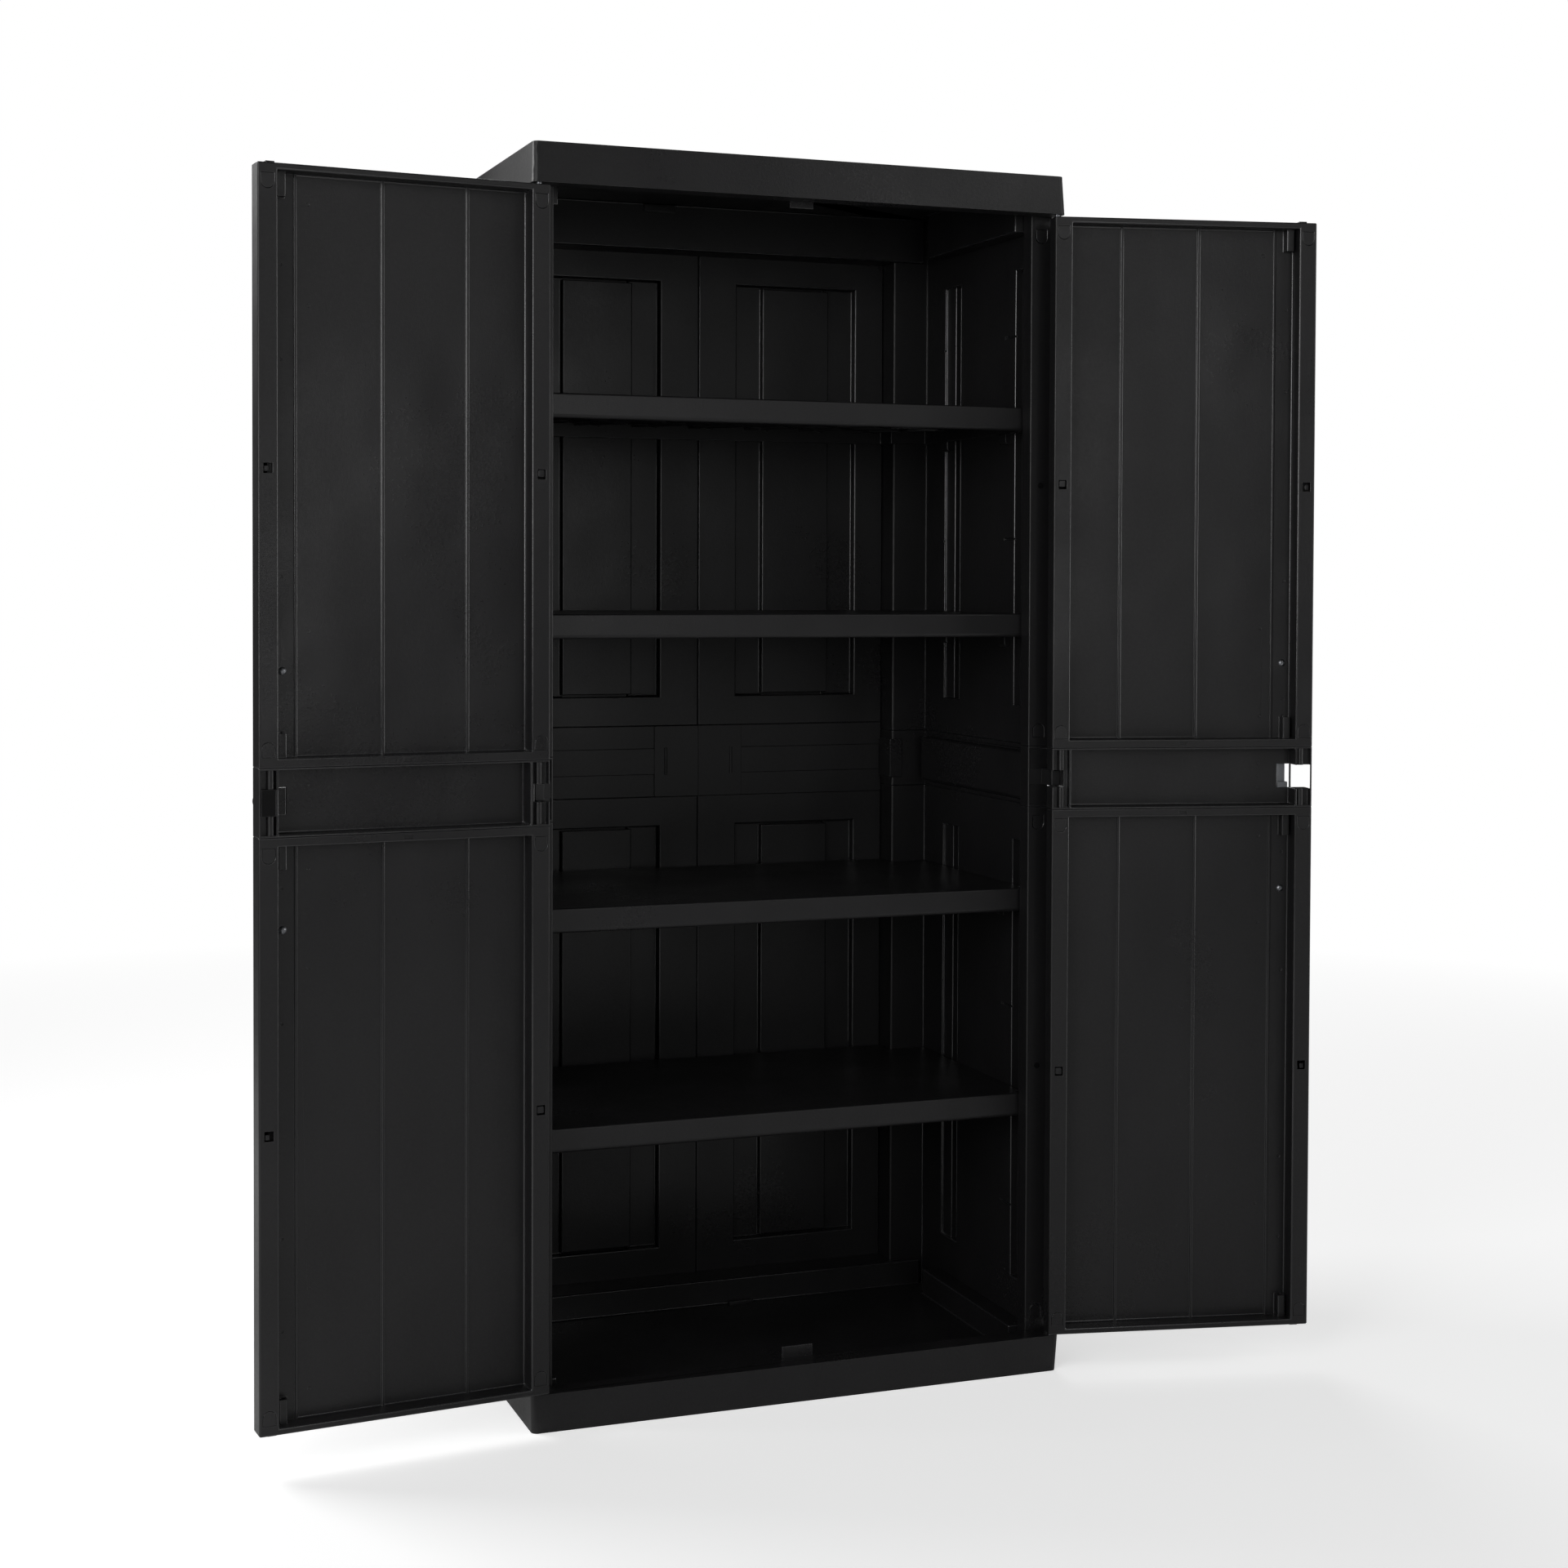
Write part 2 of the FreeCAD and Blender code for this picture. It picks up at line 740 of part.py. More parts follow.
def door_box(s0, s1, d0, d1, z0, z1):
    """Return a box in the left door's own directions."""
    return box(door_x(s0), door_x(s1), door_y(d1), door_y(d0), z0, z1)


def ridge_places():
    """Return the distances across the door of its upright ridges."""
    return [door_first_ridge + index * door_groove_pitch for index in range(door_ridge_count)]


def stile_middles():
    """Return the distances across the door of the middles of its two stiles."""
    return (door_hinge_stile / 2, door_width - door_free_stile / 2)


def door_panel(part):
    """Return a door panel: a skin in a hollow frame, open towards the cabinet."""
    low, high = (door_bottom, band_bottom) if part == "lower" else (band_top, door_top)
    rail_low = door_end_rail if part == "lower" else door_band_rail
    rail_high = door_band_rail if part == "lower" else door_end_rail
    inner_s = door_hinge_stile
    outer_s = door_width - door_free_stile
    block = rounded_post(door_x(0), door_x(door_width), door_y(door_thickness), door_y(0),
                         low, high, door_edge_round)
    pocket = door_box(inner_s, outer_s, 0, door_thickness - door_skin, low + rail_low, high - rail_high)
    panel = block.cut(pocket)
    extras = []
    for s in ridge_places():
        extras.append(door_box(s - door_ridge_width / 2, s + door_ridge_width / 2,
                               door_thickness - door_skin - door_ridge_height, door_thickness - door_skin / 2,
                               low + rail_low - overlap, high - rail_high + overlap))
    for z0, z1 in ((low + rail_low - overlap, low + rail_low + sleeve_length),
                   (high - rail_high - sleeve_length, high - rail_high + overlap)):
        s1 = outer_s - sleeve_from_stile
        extras.append(door_box(s1 - sleeve_width, s1, door_thickness - door_skin - sleeve_depth,
                               door_thickness - door_skin / 2, z0, z1))
    panel = joined([panel] + extras)
    cuts = []
    open_low = low if part == "upper" else low + door_wall
    open_high = high - door_wall if part == "upper" else high
    cuts.append(door_box(door_wall, inner_s - door_wall, door_wall, door_thickness - door_wall,
                         open_low, open_high))
    cuts.append(door_box(outer_s + door_wall, door_width - door_wall, door_wall, door_thickness - door_wall,
                         open_low, open_high))
    for s in ridge_places():
        cuts.append(door_box(s - door_groove_width / 2, s + door_groove_width / 2,
                             door_thickness - door_groove_depth, door_thickness,
                             low + rail_low, high - rail_high))
    s = outer_s - sleeve_from_stile - sleeve_width / 2
    y = door_y(door_thickness - door_skin - sleeve_depth / 2)
    for z0, z1 in ((low + rail_low, low + rail_low + sleeve_length),
                   (high - rail_high - sleeve_length, high - rail_high)):
        cuts.append(rod(door_x(s), y, z0, z1, sleeve_bore_radius))
    hole_z = panel_level(part, panel_fixing_share)
    for s in stile_middles():
        cuts.append(door_box(s - door_hole_width / 2, s + door_hole_width / 2, 0, door_wall,
                             hole_z - door_hole_height / 2, hole_z + door_hole_height / 2))
        for z, upward in clip_places(low, high):
            cuts.append(clip_shape(door_x(s), z, upward, clip_width, clip_height,
                                   door_y(door_wall), door_y(0)))
    cuts.append(rail_slot(part))
    cuts.append(door_screw_bore(part))
    cuts += door_marks(part)
    panel = carved(panel, cuts)
    return joined([panel] + pivot_holders(part)).cut(pivot_bore(part))


def door_marks(part):
    """Return the round marks in a door's field and the slit at the foot of its free stile."""
    floor_d = door_thickness - door_skin
    marks = []
    columns = ((outer_mark_from_edge, outer_mark_shares), (inner_mark_from_edge, inner_mark_shares))
    for from_edge, shares in columns:
        for share in shares:
            marks.append(rod_y(door_x(door_width - from_edge), panel_level(part, share),
                               door_y(floor_d + mark_depth), door_y(floor_d) + overlap, mark_radius))
    s = door_width - outer_mark_from_edge
    level, way = (band_bottom, -1) if part == "lower" else (band_top, 1)
    near = level + way * door_band_rail
    z0, z1 = sorted((near, near + way * door_slit_height))
    marks.append(door_box(s - door_slit_width / 2, s + door_slit_width / 2,
                          floor_d - overlap, floor_d + door_slit_depth, z0, z1))
    return marks


def door_screw_place(part):
    """Return the place across and the level of the screw in a door's field."""
    return door_x(door_width - door_screw_from_edge), panel_level(part, door_screw_share)


def door_screw_bore(part):
    """Return the blind bore that a door screw's shank fills."""
    x, z = door_screw_place(part)
    face = door_y(door_thickness - door_skin)
    return rod_y(x, z, face - door_screw_grip - running_gap, face + overlap,
                 door_screw_shank_radius + running_gap)


def door_screw(part):
    """Return a screw with a domed, cross-slotted head that lies on a door's field."""
    x, z = door_screw_place(part)
    face = door_y(door_thickness - door_skin)
    radius, height = door_screw_head_radius, door_screw_head_height
    ball = (radius * radius + height * height) / (2 * height)
    dome = Part.makeSphere(ball, V(x, face + height - ball, z))
    head = dome.common(box(x - radius, x + radius, face, face + height, z - radius, z + radius))
    shank = rod_y(x, z, face - door_screw_grip, face + height / 2, door_screw_shank_radius)
    top = face + height
    half_length, half_width = door_screw_slot_length / 2, door_screw_slot_width / 2
    slots = [
        box(x - half_length, x + half_length, top - door_screw_slot_depth, top + overlap,
            z - half_width, z + half_width),
        box(x - half_width, x + half_width, top - door_screw_slot_depth, top + overlap,
            z - half_length, z + half_length),
    ]
    return carved(joined([head, shank]), slots)


def pivot_end(part):
    """Return the outer end of a door at its lower or upper pivot, and the way out."""
    return (door_bottom, -1) if part == "lower" else (door_top, 1)


def pivot_holders(part):
    """Return the post inside the hinge stile that holds a pivot pin."""
    level, way = pivot_end(part)
    z0, z1 = sorted((level, level - way * pivot_grip))
    return [door_box(door_wall / 2, door_hinge_stile - door_wall / 2,
                     clip_length + clip_fit, door_thickness - door_wall / 2, z0, z1)]


def pivot_bore(part):
    """Return the bore that a pivot pin is pressed into."""
    level, way = pivot_end(part)
    z0, z1 = sorted((level, level - way * (pivot_grip - door_wall)))
    return rod(-axis_x, axis_y, z0, z1, pivot_radius)


def door_pivot(part):
    """Return the pin that turns in the base or in the roof."""
    level, way = pivot_end(part)
    z0, z1 = sorted((level - way * (pivot_grip - door_wall), level + way * (door_end_gap + pivot_reach)))
    return rod(-axis_x, axis_y, z0, z1, pivot_radius)


def rail_slot(part):
    """Return the small slot in the rail beside the band."""
    level, way = (band_bottom, -1) if part == "lower" else (band_top, 1)
    near = level + way * rail_slot_from_seam
    z0, z1 = sorted((near, near + way * rail_slot_height))
    s = door_width / 2
    return door_box(s - rail_slot_width / 2, s + rail_slot_width / 2, 0, rail_slot_depth, z0, z1)


def band_bars(s, gap_low, gap_high):
    """Return the two upright bars in a channel, above and below a gap."""
    x = door_x(s)
    y = door_y(band_channel_depth + band_bar_sink - band_bar_radius)
    return [rod(x, y, band_bottom, gap_low, band_bar_radius),
            rod(x, y, gap_high, band_top, band_bar_radius)]


def door_band(keeper_window):
    """Return a door's middle band: a deep field between the hinge's box and the latch's box."""
    low, high = band_bottom, band_top
    edge = door_wall
    deep = door_thickness - door_skin
    free = door_width - door_free_stile
    block = rounded_post(door_x(0), door_x(door_width), door_y(door_thickness), door_y(0),
                         low, high, door_edge_round)
    band = carved(block, [
        door_box(band_hinge_box, free, -overlap, deep, low + edge, high - edge),
        door_box(edge, band_hinge_box - edge, -overlap, band_channel_depth, low + edge, high - edge),
        door_box(free + edge, door_width - edge, -overlap, band_channel_depth, low + edge, high - edge),
    ])
    notch_low = band_middle - hinge_notch_height / 2
    notch_high = band_middle + hinge_notch_height / 2
    window_low = band_middle - window_height / 2
    window_high = band_middle + window_height / 2
    bars = band_bars(hinge_bar_from_edge, notch_low, notch_high)
    bars += band_bars(door_width - free_bar_from_edge, window_low, window_high)
    band = joined([band] + bars)
    holes = [
        door_box(-overlap, hinge_notch_width, -overlap, door_thickness + overlap, notch_low, notch_high),
        rod(-axis_x, axis_y, low + pin_seat, high, bore_radius),
    ]
    if keeper_window:
        spans = [
            (keeper_window_inner, keeper_window_outer, -overlap, door_thickness + overlap),
            (keeper_window_inner, grip_window_inner, -overlap, deep),
            (grip_window_inner, door_width - edge, -overlap, door_thickness + overlap),
            (grip_window_inner, door_width + overlap, grip_bar_depth, door_thickness + overlap),
        ]
    else:
        spans = [(latch_window_inner, latch_window_outer, -overlap, door_thickness + overlap)]
    for s0, s1, d0, d1 in spans:
        holes.append(door_box(s0, s1, d0, d1, window_low, window_high))
    return carved(band, holes)


def door_tab(part):
    """Return the small tab on a door's end that the catch holds."""
    level, way = pivot_end(part)
    z0, z1 = sorted((level - way * overlap, level + way * tab_height))
    s = door_width - tab_from_free_edge
    return door_box(s - tab_width / 2, s + tab_width / 2,
                    door_thickness / 2 - tab_depth / 2, door_thickness / 2 + tab_depth / 2, z0, z1)


def door_clips():
    """Return the eight plugs in one shut left door."""
    plugs = []
    for low, high in ((door_bottom, band_bottom), (band_top, door_top)):
        for s in stile_middles():
            for z, upward in clip_places(low, high):
                way = 1 if upward else -1
                plugs.append(clip_shape(door_x(s), z + way * clip_fit, upward,
                                        clip_width - 2 * clip_fit, clip_height - 2 * clip_fit,
                                        door_y(clip_length), door_y(0)))
    return plugs


# Latch on the left door

def latch_centre():
    """Return the latch spindle's distance from the hinge edge."""
    return (door_width - door_free_stile + door_wall + latch_window_outer) / 2


def keeper_centre():
    """Return the keeper window's distance from the right door's hinge edge."""
    return (keeper_window_inner + keeper_window_outer) / 2


def lever_reach():
    """Return how far the lever's round tip is from its spindle."""
    return 2 * door_width - latch_centre() - keeper_centre() + door_meeting_gap


def latch_housing():
    """Return the housing that fills the left door's window and carries the spindle."""
    free = door_width - door_free_stile
    s0 = latch_window_inner + latch_fit
    s1 = latch_window_outer - latch_fit
    low = band_middle - window_height / 2 + latch_fit
    high = band_middle + window_height / 2 - latch_fit
    flange = door_box(s0, free + overlap, door_thickness - latch_flange, door_thickness, low, high)
    body = door_box(free, s1, 0, door_thickness, low, high)
    hollow = door_box(free + latch_wall, s1 - latch_wall, -overlap, door_thickness - latch_wall,
                      low + latch_wall, high - latch_wall)
    seat = door_box(free + latch_wall, s1 + overlap, -overlap, latch_cover, low - overlap, high + overlap)
    bore = rod_y(door_x(latch_centre()), band_middle, door_y(door_thickness) - overlap, door_y(0),
                 spindle_radius + running_gap)
    return carved(joined([flange, body]), [hollow, seat, bore])


def latch_cover_plate():
    """Return the plate that closes the latch's housing on the inside."""
    s0 = door_width - door_free_stile + latch_wall
    s1 = latch_window_outer - latch_fit
    low = band_middle - window_height / 2 + latch_fit
    high = band_middle + window_height / 2 - latch_fit
    return door_box(s0 + running_gap, s1, running_gap, latch_cover, low, high)


def latch_lever():
    """Return the turning lever with its hub, grip rib and spindle, pointing up."""
    x = door_x(latch_centre())
    z = band_middle
    face = door_outer_y - lever_face_gap
    outer = face - lever_thickness
    tip_z = z + lever_reach()
    hub = rod_y(x, z, outer, face, lever_hub_radius)
    arm = box(x - lever_width / 2, x + lever_width / 2, outer, face, z, tip_z)
    tip = rod_y(x, tip_z, outer, face, lever_width / 2)
    grip = box(x - lever_grip_width / 2, x + lever_grip_width / 2, outer - lever_grip_height, outer + overlap,
               z - lever_hub_radius / 2, (z + tip_z) / 2)
    grip = rounded_edges(grip, lever_grip_round, lambda a, b: lengthwise(a, b) or max(a.y, b.y) < outer)
    spindle = rod_y(x, z, face - overlap, door_y(door_thickness - latch_wall - 2 * latch_washer_thickness),
                    spindle_radius)
    return joined([hub, arm, tip, grip, spindle])


def latch_washer():
    """Return the push-on washer that keeps the spindle in its housing."""
    x = door_x(latch_centre())
    y1 = door_y(door_thickness - latch_wall - latch_washer_thickness) - running_gap
    y0 = door_y(door_thickness - latch_wall) + running_gap
    ring = rod_y(x, band_middle, y0, y1, latch_washer_radius)
    return ring.cut(rod_y(x, band_middle, y0 - overlap, y1 + overlap, spindle_radius))


def latch_keeper():
    """Return the keeper that the lever drops into, drawn on the shut left door."""
    s = keeper_centre()
    half = lever_width / 2
    outer = door_outer_y - lever_face_gap - lever_thickness - keeper_clearance
    low = band_middle - half - keeper_clearance - keeper_plate
    plate = door_box(s - half, s + half, door_inner_y - outer, door_inner_y - outer + keeper_plate,
                     low, band_middle - half + keeper_height - keeper_plate)
    foot = door_box(s - half, s + half, door_thickness, door_inner_y - outer + keeper_plate,
                    band_middle - window_height / 2 - keeper_foot, low + keeper_plate)
    return joined([plate, foot])


# Hinge brackets on the right side wall

def hinge_bracket():
    """Return the bracket with the cabinet's knuckle, on the right."""
    low = band_middle - bracket_height / 2
    high = band_middle + bracket_height / 2
    seat_y = stile_front_y + bracket_foot_depth / 2
    foot_x = stile_inner_x + wall_skin + panel_fit
    foot = box(foot_x, foot_x + bracket_foot_width, seat_y - bracket_foot_depth / 2, seat_y, low, high)
    arm = box(axis_x - bracket_arm / 2, axis_x + bracket_arm / 2, axis_y, seat_y, low, high)
    arm = arm.common(box(0, wall_outer_x - running_gap, axis_y, seat_y, low, high))
    half = knuckle_radius - running_gap
    knuckle = box(axis_x - half, axis_x + half, axis_y - half, axis_y + half, low, high)
    knuckle = rounded_edges(knuckle, hinge_block_round, upright)
    bracket = joined([foot, arm, knuckle])
    return carved(bracket, [rod(axis_x, axis_y, low, high, pin_radius)])


def hinge_pin():
    """Return the pin through the three knuckles on the right."""
    return rod(axis_x, axis_y, band_bottom + pin_seat + running_gap, band_top - pin_seat / 2, pin_radius)


# Catches behind the doors, at the middle of the base and of the roof

def catch_ribs(width, y0, y1, z0, z1):
    """Return the three ribs that stiffen a catch."""
    ribs = []
    for x in (-width / 2, -catch_wall / 2, width / 2 - catch_wall):
        ribs.append(box(x, x + catch_wall, y0, y1, z0, z1))
    return ribs


def base_catch():
    """Return the lower catch that stops both doors' free edges."""
    y0 = stile_front_y - panel_fit
    half = base_catch_width / 2
    foot = box(-half, half, y0, y0 + catch_depth, floor_top, floor_top + catch_wall)
    wall = box(-half, half, y0, y0 + catch_wall, floor_top, door_bottom + base_catch_rise)
    return joined([foot, wall] + catch_ribs(base_catch_width, y0, y0 + catch_depth, floor_top, base_height))


def roof_catch():
    """Return the upper catch that hangs from the roof's lip."""
    y0 = stile_front_y - panel_fit
    half = roof_catch_width / 2
    top = fascia_bottom + roof_lip + catch_wall
    plate = box(-half, half, y0 - catch_depth, y0 + catch_wall, top - catch_wall, top)
    wall = box(-half, half, y0, y0 + catch_wall, door_top - roof_catch_drop, top)
    return joined([plate, wall] + catch_ribs(roof_catch_width, y0, y0 + catch_depth, fascia_bottom, top))


# Shelves and their brackets

def shelf_outline(inset, z0, z1):
    """Return the shelf's plan, notched at its front corners and round the rear posts."""
    x = wall_inner_x - shelf_side_gap - inset
    y0 = stile_back_y + shelf_front_gap + inset
    y1 = back_inner_y - shelf_back_gap - inset
    post_x = back_joint_x - shelf_post_gap - inset
    post_y = post_front_y - shelf_post_gap - inset
    notch = shelf_corner_notch
    right = [V(x - notch, y0, z0), V(x - notch, y0 + notch, z0), V(x, y0 + notch, z0),
             V(x, post_y, z0), V(post_x, post_y, z0), V(post_x, y1, z0)]
    left = [V(-point.x, point.y, z0) for point in reversed(right)]
    points = right + left
    return Part.Face(Part.makePolygon(points + [points[0]])).extrude(V(0, 0, z1 - z0))


def shelf(top):
    """Return one shelf: a thin top with a deep skirt and crossing ribs below."""
    low = top - shelf_height
    front = stile_back_y + shelf_front_gap + overlap
    block = shelf_outline(0.0, low, top)
    block = rounded_edges(block, shelf_nose_radius,
                          lambda a, b: crosswise(a, b) and max(a.y, b.y) < front
                          and max(a.z, b.z) < low + overlap)
    block = rounded_edges(block, shelf_edge_radius,
                          lambda a, b: crosswise(a, b) and max(a.y, b.y) < front
                          and min(a.z, b.z) > top - overlap)
    hollow = shelf_outline(shelf_wall, low, top - shelf_skin)
    ribs = []
    reach = overall_width
    count = int(reach / shelf_rib_pitch)
    rib_low = top - shelf_skin - shelf_rib_height
    for index in range(-count, count + 1):
        for angle in (45, -45):
            rib = box(-reach, reach, -shelf_rib / 2, shelf_rib / 2, rib_low, top - shelf_skin / 2)
            rib.rotate(V(0, 0, 0), UP, angle)
            rib.translate(V(index * shelf_rib_pitch, (stile_back_y + back_inner_y) / 2, 0))
            ribs.append(rib)
    web = ribs[0].fuse(ribs[1:]).common(shelf_outline(shelf_wall / 2, rib_low, top - shelf_skin / 2))
    return joined([block.cut(hollow), web])


def shelf_brackets():
    """Return the sixteen small brackets that carry the four shelves."""
    pads = []
    for top in shelf_tops:
        low = top - shelf_height
        front = field_front_y + front_bracket_inset
        rear = strip_front_y + rear_bracket_inset
        rear_length = rear_strip_length - 2 * rear_bracket_inset
        for y0, length, wall_x in ((front, bracket_length, wall_inner_x),
                                   (rear, rear_length, wall_inner_x + rear_strip_step)):
            pad = box(wall_inner_x - bracket_reach, wall_x, y0, y0 + length, low - bracket_drop, low)
            pad = rounded_edges(pad, bracket_round,
                                lambda a, b: max(a.x, b.x) < wall_inner_x - overlap
                                and max(a.z, b.z) < low - overlap)
            pads.append(pad)
            pads.append(mirrored(pad))
    return pads


# Plugs and screws of the front stiles

def stile_clips():
    """Return the eight plugs in the two front stiles."""
    plugs = []
    middle_x = (stile_inner_x + wall_outer_x) / 2
    for low, high in ((door_bottom, band_bottom), (band_top, door_top)):
        for z, upward in clip_places(low, high):
            way = 1 if upward else -1
            plug = clip_shape(middle_x, z + way * clip_fit, upward, clip_width - 2 * clip_fit,
                              clip_height - 2 * clip_fit, stile_front_y, stile_front_y + clip_length)
            plugs.append(plug)
            plugs.append(mirrored(plug))
    return plugs


def stile_screws():
    """Return the four screws in the two front stiles."""
    screws = []
    middle_x = (stile_inner_x + wall_outer_x) / 2
    for part in ("lower", "upper"):
        z = panel_level(part, panel_fixing_share)
        head = rod_y(middle_x, z, stile_front_y - screw_head_height, stile_front_y, screw_head_radius)
        shank = rod_y(middle_x, z, stile_front_y - screw_head_height / 2, stile_front_y + screw_length,
                      screw_shank_radius)
        screw = joined([head, shank])
        screws.append(screw)
        screws.append(mirrored(screw))
    return screws


# Open pose of the doors

def swung(shape, side):
    """Return a shut door piece turned about its hinge axis to the open pose."""
    angle = -left_open_angle if side == "left" else right_open_angle
    x = -axis_x if side == "left" else axis_x
    copy = shape.copy()
    copy.rotate(V(x, axis_y, 0), UP, angle)
    return copy


def door_nodes(side):
    """Return the named pieces of one open door."""
    right = side == "right"
    nodes = {}
    for part in ("lower", "upper"):
        nodes["door_" + part + "_panel"] = joined([door_panel(part), door_tab(part)])
    nodes["door_band"] = door_band(right)
    nodes["door_clips"] = group(door_clips())
    nodes["door_pivots"] = group([door_pivot("lower"), door_pivot("upper")])
    nodes["door_screws"] = group([door_screw("lower"), door_screw("upper")])
    placed = {}
    for name, shape in nodes.items():
        shape = mirrored(shape) if right else shape
        placed[side + "_" + name] = swung(shape, side)
    return placed


def cabinet_nodes():
    """Return every named piece of the cabinet body."""
    nodes = {"base_plinth": base_plinth(), "roof_cap": roof_cap()}
    sides = {
        "side_lower_panel": side_panel("lower"),
        "side_upper_panel": side_panel("upper"),
        "side_band": side_band(),
        "back_lower_panel": back_panel("lower"),
        "back_upper_panel": back_panel("upper"),
        "back_band": back_band(),
        "corner_connector": corner_connector(),
        "hinge_bracket": hinge_bracket(),
        "hinge_pin": hinge_pin(),
    }
    for name, shape in sides.items():
        nodes["right_" + name] = shape
        nodes["left_" + name] = mirrored(shape)
    nodes["back_joiner_plate"] = joiner_plate()
    for number, top in enumerate(shelf_tops, start=1):
        nodes["shelf_" + str(number)] = shelf(top)
    nodes["shelf_brackets"] = group(shelf_brackets())
    nodes["stile_clips"] = group(stile_clips())
    nodes["stile_screws"] = group(stile_screws())
    nodes["base_catch"] = base_catch()
    nodes["roof_catch"] = roof_catch()
    return nodes


def main():
    """Build every piece and write one file for each."""
    nodes = cabinet_nodes()
    nodes.update(door_nodes("left"))
    nodes.update(door_nodes("right"))
    nodes["latch_housing"] = swung(latch_housing(), "left")
    nodes["latch_cover"] = swung(latch_cover_plate(), "left")
    nodes["latch_lever"] = swung(latch_lever(), "left")
    nodes["latch_washer"] = swung(latch_washer(), "left")
    nodes["latch_keeper"] = swung(mirrored(latch_keeper()), "right")
    os.makedirs("parts", exist_ok=True)
    for name, shape in nodes.items():
        solids = len(shape.Solids)
        print(name, solids, shape.isValid(), round(shape.Volume / 1000.0, 1))
        shape.exportStep("parts/" + name + ".step")


main()
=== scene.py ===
"""The looks of a two-door resin garden cabinet, built round its fixed construction model.

The construction gives every piece its place and size. This file rounds the moulded edges, adds the
small moulded relief that the construction leaves out, and gives each piece its finish.
"""

import json
import logging
import math
from dataclasses import dataclass
from enum import Enum
from itertools import product
from typing import Sequence

import bmesh
import bpy
import numpy as np
from mathutils import Matrix, Vector
from mathutils.bvhtree import BVHTree

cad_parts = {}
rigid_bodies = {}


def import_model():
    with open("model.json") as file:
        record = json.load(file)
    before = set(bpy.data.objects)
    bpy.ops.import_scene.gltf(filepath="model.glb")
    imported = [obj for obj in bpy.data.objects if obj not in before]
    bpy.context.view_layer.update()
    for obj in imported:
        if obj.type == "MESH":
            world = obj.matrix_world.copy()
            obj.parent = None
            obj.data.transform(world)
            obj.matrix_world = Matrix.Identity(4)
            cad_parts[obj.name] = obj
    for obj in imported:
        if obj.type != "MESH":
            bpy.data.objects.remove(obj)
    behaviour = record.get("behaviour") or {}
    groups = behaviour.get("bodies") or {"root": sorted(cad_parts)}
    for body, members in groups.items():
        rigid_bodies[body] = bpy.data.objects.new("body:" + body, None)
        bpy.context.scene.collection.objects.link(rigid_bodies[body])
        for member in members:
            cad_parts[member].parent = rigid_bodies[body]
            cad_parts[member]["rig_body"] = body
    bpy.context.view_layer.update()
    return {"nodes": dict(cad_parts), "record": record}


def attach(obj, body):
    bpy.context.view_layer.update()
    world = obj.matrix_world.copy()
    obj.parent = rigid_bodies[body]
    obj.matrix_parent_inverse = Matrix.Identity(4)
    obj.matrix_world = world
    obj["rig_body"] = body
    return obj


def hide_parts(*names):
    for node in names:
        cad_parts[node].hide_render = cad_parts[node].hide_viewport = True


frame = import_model()

LOG = logging.getLogger("garden_cabinet")
MM = 0.001
CAD_MERGE = 0.01 * MM
CAD_FLAT = math.radians(0.5)
RELIEF_MERGE = 0.001 * MM


class Body(Enum):
    """The moving groups of the cabinet."""

    CABINET = "root"
    LEFT_DOOR = "left_door"
    RIGHT_DOOR = "right_door"
    LATCH = "latch"


class Slot(Enum):
    """The material slots that the construction record names."""

    WALL = "wall_resin"
    CAP = "cap_resin"
    DOOR = "door_resin"
    SHELF = "shelf_resin"
    TRIM = "trim_resin"
    STEEL = "steel"


# Finishes


